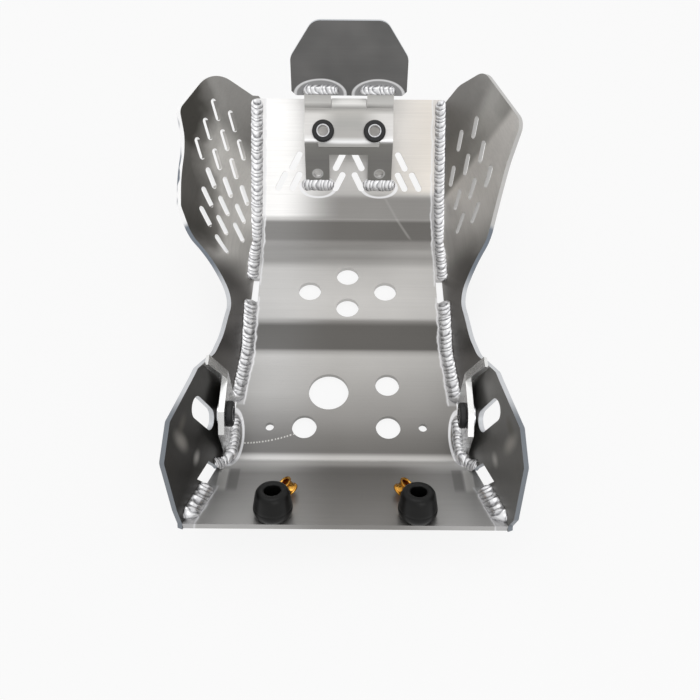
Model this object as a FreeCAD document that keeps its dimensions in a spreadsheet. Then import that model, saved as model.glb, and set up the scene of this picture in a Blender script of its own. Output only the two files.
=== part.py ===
# Motorcycle skid plate: a folded aluminium floor with two folded side plates welded to it, a header bracket
# with its shield, two mount brackets with rubber grommets, and the loose buffers and collars.
# Frame: +X right, +Y forward, +Z up, origin at the centre of the belly panel's underside.
import FreeCAD, Part
import math
import os
import re

import Sketcher

from FreeCAD import Placement, Rotation, Vector

doc = FreeCAD.newDocument("skid_plate")
sheet = doc.addObject("Spreadsheet::Sheet", "sheet")
sheet_row = 0


def size(alias, value):
    """Writes one named size, or one formula over named sizes, into the next cell of the sheet."""
    global sheet_row
    sheet_row += 1
    cell = f"A{sheet_row}"
    sheet.set(cell, str(value))
    sheet.setAlias(cell, alias)


def sizes(named):
    """Writes a table of named sizes."""
    for alias, value in named.items():
        size(alias, value)


def get(alias):
    """Reads a named size as a plain number."""
    value = sheet.get(alias)
    return float(getattr(value, "Value", value))


def angle(alias):
    """Reads a named angle in radians."""
    return math.radians(get(alias))


# Driving sizes of the folded floor, millimetres and degrees; slopes are measured going forward.
FLOOR_SIZES = {
    "sheet_thickness": 4,
    "belly_bend_y": -50,
    "floor_half_width": 88,
    "belly_half_width": 97.5,
    "flare_half_width": 114.5,
    "blank_margin": 9.5,
    "flange_length": 72,
    "flange_slope": 28,
    "belly_length": 100,
    "step_length": 30.5,
    "step_slope": 4.5,
    "tunnel_length": 91,
    "tunnel_slope": -1.5,
    "sweep_low_length": 24,
    "sweep_low_slope": 18.5,
    "sweep_high_length": 22.5,
    "sweep_high_slope": 31,
    "front_length": 90.5,
    "front_slope": 38,
    "bend_radius": 6,
    "sweep_bend_radius": 45,
}
sizes(FLOOR_SIZES)

# Holes and slots in the floor; places are measured from the belly bend.
HOLE_SIZES = {
    "drain_diameter": 20,
    "plug_diameter": 33,
    "bolt_diameter": 7,
    "bolt_spacing": 123.4,
    "drain_half_spacing": 33.8,
    "low_row_y": 29.2,
    "plug_x": -14.8,
    "plug_y": 61.5,
    "high_drain_y": 68,
    "tunnel_side_y": 163.2,
    "tunnel_near_y": 145.1,
    "tunnel_far_y": 180.8,
    "slot_length": 20,
    "slot_width": 6,
    "front_slot_lean": 27,
    "front_slot_near_x": 9,
    "front_slot_far_x": 50.2,
    "front_slot_edge_x": 63.6,
    "front_row_low": 13.3,
    "front_row_high": 32.4,
    "edge_gap_width": 8,
    "edge_gap_near_y": 151,
    "edge_gap_far_y": 177,
    "side_slit_width": 3,
    "side_slit_near_y": 36,
    "side_slit_far_y": 54,
}
sizes(HOLE_SIZES)

# Folded side plates. Each fold line starts at a bend of the floor's edge; its flare leans outward, its rake back.
SIDE_SIZES = {
    "crease_y": 205,
    "left_wing_flare": 42,
    "left_wing_crease": 22.5,
    "left_sweep_flare": 38,
    "left_sweep_rake": 14.6,
    "left_tunnel_flare": 38,
    "left_tunnel_rake": 23.7,
    "right_wing_flare": 28,
    "right_wing_crease": 9.6,
    "right_sweep_flare": 27.8,
    "right_sweep_rake": 25.3,
    "right_tunnel_flare": 28.3,
    "right_tunnel_rake": 26.6,
    "waist_flare": 16.4,
    "waist_rake": 8.4,
    "step_flare": 11.4,
    "step_rake": 15.5,
    "ear_flare": 7.7,
    "ear_rake": -20.3,
    "plate_reach": 140,
    "plate_drop": 16,
    "blank_turn": 12.5,
    "blank_tilt": 22,
    "ear_hole_length": 43,
    "ear_hole_width": 16.5,
}
sizes(SIDE_SIZES)

# Louvre slots of the wings, the skirt that is trimmed away, and the grip hole in each ear.
WING_SIZES = {
    "left_slot_lean": 29.5,
    "left_slot_step": -19.4,
    "left_slot_drop": -4.8,
    "right_slot_lean": 33,
    "right_slot_step": -24.3,
    "right_slot_drop": -6.2,
    "outline_skirt": 60,
    "outline_depth": 220,
    "fold_run": 9,
    "ear_hole_along": 11.8,
    "ear_hole_up": 52.3,
    "ear_hole_lean": -11,
    "relief_near": 8,
    "relief_far": 29,
    "relief_lean": 3.5,
    "relief_height": 17.5,
    "trim_margin": 9,
    "wall_overhang": 0.4,
    "outline_step": 5,
    "bend_share": 0.4,
    "corner_share": 0.48,
}
sizes(WING_SIZES)

# Weld beads, brackets, grommets, shield, buffers and collars.
FITTING_SIZES = {
    "bead_sink": 3,
    "bead_radius": 9.4,
    "upper_bead_start": 178,
    "lower_bead_start": 55,
    "lower_bead_end": 150,
    "flange_bead_start": 34,
    "flange_bead_end": 57,
    "front_bead_margin": 8,
    "bracket_thickness": 4.5,
    "bracket_offset": 6,
    "bracket_front": 53,
    "bracket_arm_lean": 2.5,
    "bracket_rear": 5,
    "bracket_rear_height": 34,
    "bracket_chamfer": 13,
    "bracket_height": 46,
    "bracket_arm_near": 46,
    "bracket_arm_width": 9,
    "bracket_arm_bend": 47,
    "bracket_arm_slope": 24,
    "bracket_arm_reach": 27,
    "grommet_y": 24.5,
    "grommet_z": 31,
    "grommet_outer": 20,
    "grommet_seat": 15.4,
    "grommet_bore": 12,
    "grommet_face": 5,
    "sleeve_bore": 10,
    "sleeve_flange": 18,
    "sleeve_flange_thickness": 2,
    "header_thickness": 3,
    "header_bend_radius": 2,
    "header_half_width": 40.3,
    "header_face_height": 31.8,
    "header_leg_bend": 46.5,
    "header_tab_bend": 75.5,
    "header_tab_slope": 36,
    "header_tab_length": 14,
    "header_leg_slope": 41.5,
    "header_centre_half": 16.4,
    "header_centre_end": 84.5,
    "header_lip_half": 27.5,
    "header_lip_length": 5.5,
    "header_lip_slit": 0.8,
    "header_notch_half": 18,
    "header_notch_drop": 15,
    "header_leg_chamfer": 6,
    "tapped_hole_diameter": 7.8,
    "tapped_hole_x": 29,
    "tapped_hole_drop": 35.5,
    "header_hole_x": 23.4,
    "header_hole_up": 55,
    "shield_thickness": 3,
    "shield_half_width": 51.8,
    "shield_top_half": 31.5,
    "shield_bottom": 11,
    "shield_corner": 46,
    "shield_top": 78,
    "shield_bottom_taper": 4,
    "shield_corner_radius": 12,
    "buffer_base": 20.5,
    "buffer_belly": 28.5,
    "buffer_top": 23.7,
    "buffer_height": 22,
    "buffer_belly_up": 7.5,
    "buffer_shoulder": 3,
    "buffer_belly_rounding": 6,
    "buffer_top_rounding": 3,
    "buffer_bore": 11.5,
    "buffer_x": 51.5,
    "buffer_back": 61,
    "collar_x": 40.3,
    "collar_back": 39,
    "collar_tilt": 33,
    "collar_flange": 12,
    "collar_flange_thickness": 1.5,
    "collar_tube": 9.5,
    "collar_length": 9,
    "collar_wall": 0.8,
    "shield_bead_x": 25.7,
    "shield_bead_half": 17,
    "leg_bead_half": 9,
    "small_bead_radius": 4.5,
    "bracket_bead_front": 36,
    "bracket_bead_turn": 1,
    "bracket_bead_end": 6,
    "fit_gap": 0.1,
}
sizes(FITTING_SIZES)

# The blank is wider than the floor anywhere, and the trim that cuts it to the side plates is wider still.
size("blank_half_width", "=flare_half_width + blank_margin")
size("trim_width", "=blank_half_width - floor_half_width + trim_margin")

# Floor bends worked out from the driving sizes, y and z of the top face at each bend from rear to front.
PANELS = ("belly", "step", "tunnel", "sweep_low", "sweep_high", "front")
size("bend0_y", "=belly_bend_y - flange_length * cos(flange_slope)")
size("bend0_z", "=sheet_thickness + flange_length * sin(flange_slope)")
size("bend1_y", "=belly_bend_y")
size("bend1_z", "=sheet_thickness")
size("belly_slope", 0)
for number, panel in enumerate(PANELS, start=2):
    size(f"bend{number}_y", f"=bend{number - 1}_y + {panel}_length * cos({panel}_slope)")
    size(f"bend{number}_z", f"=bend{number - 1}_z + {panel}_length * sin({panel}_slope)")
size("rear_slope", "=-flange_slope")
SLOPES = ("rear",) + PANELS
doc.recompute()


def link(text):
    """Turns a formula over the sheet's aliases into an expression of the document."""
    return re.sub(r"[a-z]\w*", name_cell, text)


def name_cell(match):
    """Puts the sheet's name before an alias and leaves a function's name as it is."""
    word = match[0]
    return word if word in ("sin", "cos", "tan") else f"{sheet.Name}.{word}"


def bind(target, **formulas):
    """Ties properties of an object to formulas over the sheet; a double underscore stands for a dot."""
    for name, text in formulas.items():
        target.setExpression(name.replace("__", "."), link(text))


def new_body(label):
    """Starts an empty body."""
    body = doc.addObject("PartDesign::Body", label)
    body.Label = label
    return body


def new_sketch(body, plane, label):
    """Starts a sketch on one of the body's own origin planes."""
    sketch = body.newObject("Sketcher::SketchObject", label)
    support = next(item for item in body.Origin.OriginFeatures if item.Role == plane)
    sketch.AttachmentSupport = (support, "")
    sketch.MapMode = "FlatFace"
    return sketch


def dimension(sketch, kind, places, text):
    """Adds one driving dimension that follows a formula over the sheet."""
    number = sketch.addConstraint(Sketcher.Constraint(kind, *places, sheet_value(text)))
    sketch.setExpression(f"Constraints[{number}]", link(text))


def corner_point(sketch, line, across, up):
    """Holds the start of a line at its place, measured from the sketch's origin."""
    dimension(sketch, "DistanceX", (-1, 1, line, 1), across)
    dimension(sketch, "DistanceY", (-1, 1, line, 1), up)


def add_polygon(sketch, corners):
    """Draws a closed outline whose corners are pairs of formulas."""
    count = len(corners)
    guess = [Vector(sheet_value(across), sheet_value(up), 0) for across, up in corners]
    first = sketch.GeometryCount
    for number in range(count):
        sketch.addGeometry(Part.LineSegment(guess[number], guess[(number + 1) % count]))
    for number in range(count):
        ends = (first + number, 2, first + (number + 1) % count, 1)
        sketch.addConstraint(Sketcher.Constraint("Coincident", *ends))
    for number, (across, up) in enumerate(corners):
        corner_point(sketch, first + number, across, up)


def add_circle(sketch, across, up, diameter):
    """Draws a circle whose centre and diameter are formulas."""
    centre = Vector(sheet_value(across), sheet_value(up), 0)
    circle = sketch.addGeometry(Part.Circle(centre, Vector(0, 0, 1), sheet_value(diameter) / 2))
    dimension(sketch, "DistanceX", (-1, 1, circle, 3), across)
    dimension(sketch, "DistanceY", (-1, 1, circle, 3), up)
    dimension(sketch, "Diameter", (circle,), diameter)


def sheet_value(text):
    """Works a formula out now, so that a sketch starts close to its solution."""
    value = sheet.evalExpression(link(text))
    return float(getattr(value, "Value", value))


def pad(body, sketch, length, label, both_ways=False):
    """Extrudes a sketch into the body."""
    feature = body.newObject("PartDesign::Pad", label)
    feature.Profile = sketch
    bind(feature, Length=length)
    feature.Midplane = both_ways
    return feature


def pocket(body, sketch, depth, label):
    """Cuts a sketch out of the body, to the same depth on both sides of its plane."""
    feature = body.newObject("PartDesign::Pocket", label)
    feature.Profile = sketch
    bind(feature, Length=depth)
    feature.Midplane = True
    return feature


def long_edges(shape, places):
    """Names the edges parallel to X that lie at the given pairs of y and z."""
    found = []
    for number, edge in enumerate(shape.Edges, start=1):
        middle = edge.BoundBox.Center
        for across, up in places:
            near = abs(middle.y - across) < 0.01 and abs(middle.z - up) < 0.01
            if near and edge.BoundBox.YLength < 0.01:
                found.append(f"Edge{number}")
    return found


def round_bends(body, places, radius, label):
    """Rounds the long edges at the given places."""
    doc.recompute()
    base = body.Tip
    feature = body.newObject("PartDesign::Fillet", label)
    feature.Base = (base, long_edges(base.Shape, places))
    bind(feature, Radius=radius)
    return feature


def round_rims(body, rims, radius, label):
    """Rounds the circular edges of a turned body, given as pairs of diameter and height formulas."""
    doc.recompute()
    base = body.Tip
    sizes_and_heights = [(sheet_value(across), sheet_value(up)) for across, up in rims]
    found = []
    for number, edge in enumerate(base.Shape.Edges, start=1):
        box = edge.BoundBox
        for across, up in sizes_and_heights:
            if box.ZLength < 0.01 and abs(box.ZMin - up) < 0.01 and abs(box.XLength - across) < 0.01:
                found.append(f"Edge{number}")
    feature = body.newObject("PartDesign::Fillet", label)
    feature.Base = (base, found)
    bind(feature, Radius=radius)


# Underside of each floor bend, mitred, and the cut faces at both ends; half depth serves to trim the weld beads.
for name, depth in (("under", "sheet_thickness"), ("core", "sheet_thickness / 2")):
    for number in range(8):
        before = SLOPES[max(number - 1, 0)]
        after = SLOPES[min(number, 6)]
        lean = f"(({before}_slope + {after}_slope) / 2)"
        half = f"(({after}_slope - {before}_slope) / 2)"
        size(f"{name}{number}_y", f"=bend{number}_y + {depth} * sin{lean} / cos{half}")
        size(f"{name}{number}_z", f"=bend{number}_z - {depth} * cos{lean} / cos{half}")
size("cut_depth", "=sheet_thickness * 8")
size("outer_radius", "=bend_radius + sheet_thickness")
size("sweep_outer_radius", "=sweep_bend_radius + sheet_thickness")
size("blank_width", "=blank_half_width * 2")
doc.recompute()


# Floor: one bent sheet, still as wide as its blank; the side plates' inner faces trim it afterwards.
def floor_blank():
    body = new_body("floor_blank")
    profile = new_sketch(body, "YZ_Plane", "floor_profile")
    top = [(f"bend{number}_y", f"bend{number}_z") for number in range(8)]
    bottom = [(f"under{number}_y", f"under{number}_z") for number in reversed(range(8))]
    add_polygon(profile, top + bottom)
    pad(body, profile, "blank_width", "floor_pad", both_ways=True)

    # Bends that close upwards are tight on the top face, the one before the tunnel on the underside.
    inner = [bend_place("bend", number) for number in (1, 2, 5, 6)] + [bend_place("under", 3)]
    outer = [bend_place("under", number) for number in (1, 2, 5, 6)] + [bend_place("bend", 3)]
    round_bends(body, inner, "bend_radius", "inner_bends")
    round_bends(body, outer, "outer_radius", "outer_bends")
    round_bends(body, [bend_place("bend", 4)], "sweep_bend_radius", "inner_sweep_bend")
    round_bends(body, [bend_place("under", 4)], "sweep_outer_radius", "outer_sweep_bend")

    # Round holes, cut square to the belly.
    holes = new_sketch(body, "XY_Plane", "floor_holes")
    tunnel_y = "belly_bend_y + tunnel_side_y"
    for side in ("-1", "1"):
        add_circle(holes, f"{side} * drain_half_spacing", tunnel_y, "drain_diameter")
        add_circle(holes, f"{side} * drain_half_spacing", "belly_bend_y + low_row_y", "drain_diameter")
        add_circle(holes, f"{side} * bolt_spacing / 2", "belly_bend_y + low_row_y", "bolt_diameter")
    add_circle(holes, "0", "belly_bend_y + tunnel_near_y", "drain_diameter")
    add_circle(holes, "0", "belly_bend_y + tunnel_far_y", "drain_diameter")
    add_circle(holes, "drain_half_spacing", "belly_bend_y + high_drain_y", "drain_diameter")
    add_circle(holes, "plug_x", "belly_bend_y + plug_y", "plug_diameter")
    pocket(body, holes, "cut_depth", "floor_hole_cut")

    # Gaps left along the welded edges: a notch beside the tunnel and a slit beside the belly.
    gaps = new_sketch(body, "XY_Plane", "edge_gaps")
    for side in ("-1", "1"):
        inner_x = f"{side} * (floor_half_width - edge_gap_width)"
        outer_x = f"{side} * blank_half_width"
        near_y = "belly_bend_y + edge_gap_near_y"
        far_y = "belly_bend_y + edge_gap_far_y"
        add_polygon(gaps, [(inner_x, near_y), (outer_x, near_y), (outer_x, far_y), (inner_x, far_y)])
        slit_x = f"{side} * (slit_edge_x - side_slit_width)"
        near_y = "belly_bend_y + side_slit_near_y"
        far_y = "belly_bend_y + side_slit_far_y"
        add_polygon(gaps, [(slit_x, near_y), (outer_x, near_y), (outer_x, far_y), (slit_x, far_y)])
    pocket(body, gaps, "gap_cut_depth", "edge_gap_cut")

    # Louvre slots in the front panel, cut square to it.
    slots = new_sketch(body, "XY_Plane", "front_slots")
    slots.AttachmentOffset = Placement(Vector(), Rotation(Vector(1, 0, 0), get("front_slope")))
    bind(slots, AttachmentOffset__Base__y="bend6_y", AttachmentOffset__Base__z="bend6_z")
    bind(slots, AttachmentOffset__Rotation__Angle="front_slope")
    for side, lean in ((-1, -1), (1, 1)):
        for across in ("front_slot_near_x", "front_slot_far_x"):
            for up in ("front_row_low", "front_row_high"):
                add_slot(slots, f"{side} * {across}", up, f"{lean} * front_slot_lean")
        add_slot(slots, f"{side} * front_slot_edge_x", "front_row_low", f"{lean} * front_slot_lean")
    pocket(body, slots, "cut_depth", "front_slot_cut")
    return body


def bend_place(name, number):
    """Place of a bend on the top face or the underside."""
    return get(f"{name}{number}_y"), get(f"{name}{number}_z")


def add_slot(sketch, across, up, lean):
    """Draws a slot with round ends; it leans to the left of the sketch's upright by the given angle."""
    centre = Vector(sheet_value(across), sheet_value(up), 0)
    turn = math.radians(sheet_value(lean))
    along = Vector(-math.sin(turn), math.cos(turn), 0)
    side = Vector(math.cos(turn), math.sin(turn), 0)
    radius = get("slot_width") / 2
    run = along * (get("slot_length") / 2 - radius)
    edge = side * radius
    right = sketch.addGeometry(Part.LineSegment(centre - run + edge, centre + run + edge))
    top = sketch.addGeometry(Part.Arc(centre + run + edge, centre + run + along * radius, centre + run - edge))
    left = sketch.addGeometry(Part.LineSegment(centre + run - edge, centre - run - edge))
    bottom = sketch.addGeometry(Part.Arc(centre - run - edge, centre - run - along * radius, centre - run + edge))

    # The two straight sides are held at both ends; each end arc is tangent where it starts and closed where it ends.
    for line, end, sideways, upwards in ((right, 1, 1, -1), (right, 2, 1, 1), (left, 1, -1, 1), (left, 2, -1, -1)):
        half = f"{upwards} * (slot_length - slot_width) / 2"
        out = f"{sideways} * slot_width / 2"
        dimension(sketch, "DistanceX", (-1, 1, line, end), f"{across} - {half} * sin({lean}) + {out} * cos({lean})")
        dimension(sketch, "DistanceY", (-1, 1, line, end), f"{up} + {half} * cos({lean}) + {out} * sin({lean})")
    for line, arc, other in ((right, top, left), (left, bottom, right)):
        sketch.addConstraint(Sketcher.Constraint("Tangent", line, 2, arc, 1))
        sketch.addConstraint(Sketcher.Constraint("Coincident", arc, 2, other, 1))


# Edge of the floor at the slit, and how deep a cut from the belly's level has to reach.
narrowing = "(belly_half_width - floor_half_width) / belly_length"
size("slit_edge_x", f"=belly_half_width - {narrowing} * (side_slit_near_y + side_slit_far_y) / 2")
size("gap_cut_depth", "=flange_length")
doc.recompute()


# Outlines of the two side plates as seen square-on to their blanks. Each corner names the floor bend that it
# is measured from, then its distance along, its distance up, and its rounding.
LEFT_OUTLINE = (
    ("front", -1, 4.5, 1),
    ("high", 53, 108, 30),
    ("high", 0, 108.5, 10),
    ("low", 0.5, 97, 45),
    ("crease", -17, 87, 8),
    ("crease", -36, 66.5, 60),
    ("tunnel", 0, 29, 22),
    ("step", -38.5, 54, 25),
    ("belly", 32.5, 81, 8),
    ("belly", -19, 94.5, 2),
    ("rear", 21, 51.5, 4),
    ("rear", 4, 13.5, 3),
    ("rear", 0, 0, 0),
)
RIGHT_OUTLINE = (
    ("front", -6, 2.5, 2),
    ("high", 59, 83, 30),
    ("high", 40, 115, 18),
    ("low", -13, 134, 12),
    ("crease", 10.5, 107, 45),
    ("crease", -27.5, 67, 60),
    ("tunnel", 6, 25.5, 22),
    ("step", -37, 52, 25),
    ("belly", 31, 81.5, 8),
    ("belly", -19.5, 90.5, 2),
    ("rear", 22, 47, 4),
    ("rear", 0, 11, 3),
    ("rear", 0, 0, 0),
)
BENDS = {"front": 7, "high": 6, "low": 5, "tunnel": 3, "step": 2, "belly": 1, "rear": 0}

# Louvre slots of the wings: rows run back and down from their first slot.
LEFT_SLOT_ROWS = (("high", 28, 81.7, 3), ("high", 33.7, 62.4, 6), ("high", 20.8, 38.7, 6), ("low", 8.6, 22.3, 3))
RIGHT_SLOT_ROWS = (("high", 11.4, 76.2, 3), ("high", 18.8, 53.5, 4), ("low", 20.8, 37.3, 3))


def half_width(number):
    """Half width of the floor at a bend, between the side plates' inner faces."""
    return get({0: "flare_half_width", 1: "belly_half_width"}.get(number, "floor_half_width"))


def floor_corner(side, number):
    """Corner of the floor's top face at a bend; side is -1 on the left and 1 on the right."""
    return Vector(side * half_width(number), get(f"bend{number}_y"), get(f"bend{number}_z"))


def crease_corner(side):
    """Point of the tunnel's edge where the wing's last crease starts."""
    y = get("belly_bend_y") + get("crease_y")
    z = get("bend4_z") - (get("bend4_y") - y) * math.tan(angle("tunnel_slope"))
    return Vector(side * get("floor_half_width"), y, z)


def leaning(side, flare, rake):
    """Direction that leans outwards by the flare and backwards by the rake."""
    direction = Vector(side * math.tan(angle(flare)), -math.tan(angle(rake)), 1)
    return direction.normalize()


def fold_lines(side):
    """Start and direction of each fold line on the plate's inner face, from the front end to the rear end."""
    name = "left" if side < 0 else "right"
    slope = angle("front_slope")
    along = Vector(0, math.cos(slope), math.sin(slope))
    square = Vector(0, -math.sin(slope), math.cos(slope))
    flare = angle(f"{name}_wing_flare")
    crease = angle(f"{name}_wing_crease")
    wing = Vector(side, 0, 0) * math.sin(flare) + square * math.cos(flare)
    front = floor_corner(side, 6)
    belly = floor_corner(side, 1)
    ear = leaning(side, "ear_flare", "ear_rake")
    return [
        (front + along * (get("front_length") * (1 + get("wall_overhang"))), wing),
        (front, along * math.sin(crease) + wing * math.cos(crease)),
        (floor_corner(side, 5), leaning(side, f"{name}_sweep_flare", f"{name}_sweep_rake")),
        (crease_corner(side), leaning(side, f"{name}_tunnel_flare", f"{name}_tunnel_rake")),
        (floor_corner(side, 3), leaning(side, "waist_flare", "waist_rake")),
        (floor_corner(side, 2), leaning(side, "step_flare", "step_rake")),
        (belly, ear),
        (belly + (floor_corner(side, 0) - belly) * (1 + get("wall_overhang")), ear),
    ]


def mitre_offsets(side, lines, distance):
    """Offsets that move the folded inner face outwards by a distance, mitred at each fold."""
    normals = []
    for (start, lean), (next_start, next_lean) in zip(lines, lines[1:]):
        normal = (next_start - start).cross(lean + next_lean).normalize()
        normals.append(normal if normal.x * side > 0 else normal * -1)
    offsets = [normals[0] * distance]
    for before, after in zip(normals, normals[1:]):
        offsets.append((before + after) * (distance / (1 + before.dot(after))))
    offsets.append(normals[-1] * distance)
    return offsets


def folded_run(points, shares):
    """Edges of straight runs joined by parabolic bends; shares give each bend's part of the runs beside it."""
    edges = []
    start = points[0]
    for number in range(1, len(points) - 1):
        corner = points[number]
        before, after = shares[number]
        bend_start = corner + (points[number - 1] - corner) * before
        bend_end = corner + (points[number + 1] - corner) * after
        edges.append(Part.LineSegment(start, bend_start).toShape())
        bend = Part.BezierCurve()
        bend.setPoles([bend_start, corner, bend_end])
        edges.append(bend.toShape())
        start = bend_end
    edges.append(Part.LineSegment(start, points[-1]).toShape())
    return edges


def folded_wall(side, inner_distance, outer_distance):
    """Solid between two offsets of a side plate's folded inner face."""
    lines = fold_lines(side)
    starts = [start for start, lean in lines]
    shares = [(0, 0)]
    for number in range(1, len(starts) - 1):
        corner = starts[number]
        reach = get("fold_run")
        before = min(get("bend_share"), reach / (starts[number - 1] - corner).Length)
        after = min(get("bend_share"), reach / (starts[number + 1] - corner).Length)
        shares.append((before, after))
    runs = {}
    for height in (-get("plate_drop"), get("plate_reach")):
        for distance in (inner_distance, outer_distance):
            offsets = mitre_offsets(side, lines, distance)
            points = [start + lean * height + move for (start, lean), move in zip(lines, offsets)]
            runs[height, distance] = folded_run(points, shares)
    low, high = -get("plate_drop"), get("plate_reach")
    inner, outer = inner_distance, outer_distance
    faces = []
    for first, second in (((low, inner), (high, inner)), ((low, outer), (high, outer)),
                          ((low, inner), (low, outer)), ((high, inner), (high, outer))):
        for edge, opposite in zip(runs[first], runs[second]):
            faces.append(Part.makeRuledSurface(edge, opposite))
    around = ((low, inner), (high, inner), (high, outer), (low, outer))
    for end in (0, -1):
        ring = [runs[key][end].Vertexes[end].Point for key in around]
        faces.append(Part.makeRuledSurface(Part.makeLine(ring[0], ring[1]), Part.makeLine(ring[3], ring[2])))
    shell = Part.makeShell(faces)
    shell.sewShape()
    wall = Part.makeSolid(shell)
    return wall if wall.Volume > 0 else wall.reversed()


def blank_axes(side):
    """Axes along, up and square to a side plate's blank."""
    turn = angle("blank_turn")
    tilt = angle("blank_tilt")
    along = Vector(-side * math.sin(turn), math.cos(turn), 0)
    up = Vector(side * math.sin(tilt) * math.cos(turn), math.sin(tilt) * math.sin(turn), math.cos(tilt))
    square = Vector(side * math.cos(tilt) * math.cos(turn), math.cos(tilt) * math.sin(turn), -math.sin(tilt))
    return along, up, square


def on_blank(side, mark, forward, height):
    """Point in the blank's view, measured from a named bend of the floor's edge."""
    along, up, square = blank_axes(side)
    base = crease_corner(side) if mark == "crease" else floor_corner(side, BENDS[mark])
    return along * (base.dot(along) + forward) + up * (base.dot(up) + height)


def rounded_outline(corners):
    """Closed wire through corners, each with its own rounding; a rounding of 0 keeps the corner sharp."""
    count = len(corners)
    edges = []
    ends = []
    for number, (corner, radius) in enumerate(corners):
        before = corners[number - 1][0] - corner
        after = corners[(number + 1) % count][0] - corner
        opening = before.getAngle(after)
        shortest = min(before.Length, after.Length)
        reach = min(radius / math.tan(opening / 2), shortest * get("corner_share"))
        start = corner + before.normalize() * reach
        end = corner + after.normalize() * reach
        ends.append((start, end))
        if reach > 0.01:
            centre_way = (before + after).normalize()
            round_size = reach * math.tan(opening / 2)
            middle = corner + centre_way * (round_size / math.sin(opening / 2) - round_size)
            edges.append(Part.Arc(start, middle, end).toShape())
        else:
            edges.append(None)
    outline = []
    for number in range(count):
        if edges[number] is not None:
            outline.append(edges[number])
        start = ends[number][1]
        end = ends[(number + 1) % count][0]
        if (end - start).Length > 0.01:
            outline.append(Part.LineSegment(start, end).toShape())
    return Part.Wire(outline)


def outline_prism(side):
    """Block with a side plate's outline, square to its blank."""
    along, up, square = blank_axes(side)
    outline = LEFT_OUTLINE if side < 0 else RIGHT_OUTLINE
    corners = [(on_blank(side, mark, forward, height), rounding) for mark, forward, height, rounding in outline]
    step = get("outline_step")
    front = corners[0][0] + (along - up) * step
    rear = corners[-1][0] - (along + up) * step
    bottom = on_blank(side, "belly", 0, -get("outline_skirt")).dot(up)
    corners = [(front + up * (bottom - front.dot(up)), 0), (front, 0)] + corners
    corners += [(rear, 0), (rear + up * (bottom - rear.dot(up)), 0)]
    return Part.Face(rounded_outline(corners)).extrude(square * get("outline_depth"))


def below_floor(name):
    """Everything below the floor's underside, or below the middle of its sheet."""
    ends = {number: Vector(0, get(f"{name}{number}_y"), get(f"{name}{number}_z")) for number in range(8)}
    rear = ends[0] + (ends[0] - ends[1])
    front = ends[7] + (ends[7] - ends[6])
    deep = get("outline_skirt")
    corners = [rear] + list(ends.values()) + [front, Vector(0, front.y, -deep), Vector(0, rear.y, -deep)]
    width = Vector(get("outline_depth"), 0, 0)
    return Part.Face(Part.makePolygon([corner - width for corner in corners + corners[:1]])).extrude(width * 2)


def slot_punch(length, width, depth):
    """Slot-shaped prism, long along Y and centred on the origin."""
    radius = width / 2
    run = length / 2 - radius
    corners = [Vector(radius, -run, 0), Vector(radius, run, 0), Vector(-radius, run, 0), Vector(-radius, -run, 0)]
    edges = [
        Part.LineSegment(corners[0], corners[1]).toShape(),
        Part.Arc(corners[1], Vector(0, run + radius, 0), corners[2]).toShape(),
        Part.LineSegment(corners[2], corners[3]).toShape(),
        Part.Arc(corners[3], Vector(0, -run - radius, 0), corners[0]).toShape(),
    ]
    face = Part.Face(Part.Wire(edges))
    face.translate(Vector(0, 0, -depth / 2))
    return face.extrude(Vector(0, 0, depth))


def punched(side, plate, point, lean, length, width):
    """Cuts a slot through the plate where a line square to the blank meets it, square to the plate there."""
    along, up, square = blank_axes(side)
    line = Part.LineSegment(point, point + square * get("outline_depth")).toShape()
    inside = line.common(plate).Edges[0]
    centre = inside.BoundBox.Center
    faces = [face for face in plate.Faces if face.distToShape(inside.Vertexes[0])[0] < 0.01]
    nearest = min(faces, key=lambda face: -abs(face_normal(face, inside.Vertexes[0].Point).dot(square)))
    normal = face_normal(nearest, inside.Vertexes[0].Point)
    tilt = math.radians(lean)
    upright = along * math.sin(tilt) + up * math.cos(tilt)
    punch = slot_punch(length, width, get("sheet_thickness") * 3)
    punch.Placement = Placement(centre, Rotation(Vector(), upright, normal, "ZYX"))
    return plate.cut(punch)


def face_normal(face, point):
    """Normal of a face at the point of it that lies nearest."""
    u, v = face.Surface.parameter(point)
    return face.normalAt(u, v)


def side_plate(side):
    """Folded side plate with its wing, waist and ear, louvre slots and grip hole."""
    name = "left" if side < 0 else "right"
    plate = folded_wall(side, 0, get("sheet_thickness"))
    plate = plate.common(outline_prism(side)).cut(below_floor("under"))
    rows = LEFT_SLOT_ROWS if side < 0 else RIGHT_SLOT_ROWS
    length = get("slot_length")
    width = get("slot_width")
    for mark, forward, height, count in rows:
        for number in range(count):
            reach = forward + number * get(f"{name}_slot_step")
            drop = height + number * get(f"{name}_slot_drop")
            point = on_blank(side, mark, reach, drop)
            plate = punched(side, plate, point, get(f"{name}_slot_lean"), length, width)
    point = on_blank(side, "belly", get("ear_hole_along"), get("ear_hole_up"))
    plate = punched(side, plate, point, get("ear_hole_lean"), get("ear_hole_length"), get("ear_hole_width"))
    plate = plate.cut(corner_relief())
    return feature(f"{name}_side_plate", max(plate.Solids, key=lambda solid: solid.Volume))


def corner_relief():
    """Prism across the whole part that opens the plates' lower edges behind the belly bend."""
    slope = angle("flange_slope")
    bend = Vector(0, get("bend1_y"), get("bend1_z"))
    back = Vector(0, -math.cos(slope), math.sin(slope))
    rise = Vector(0, -get("relief_lean"), get("relief_height"))
    near = bend + back * get("relief_near")
    far = bend + back * get("relief_far")
    drop = Vector(0, 0, -get("plate_drop"))
    width = Vector(get("blank_width"), 0, 0)
    corners = [near + drop, near, near + rise, far + rise, far, far + drop]
    return Part.Face(Part.makePolygon([corner - width for corner in corners + corners[:1]])).extrude(width * 2)


def feature(label, shape):
    """Adds one finished solid to the document."""
    item = doc.addObject("Part::Feature", label)
    item.Label = label
    item.Shape = shape
    return item


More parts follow.
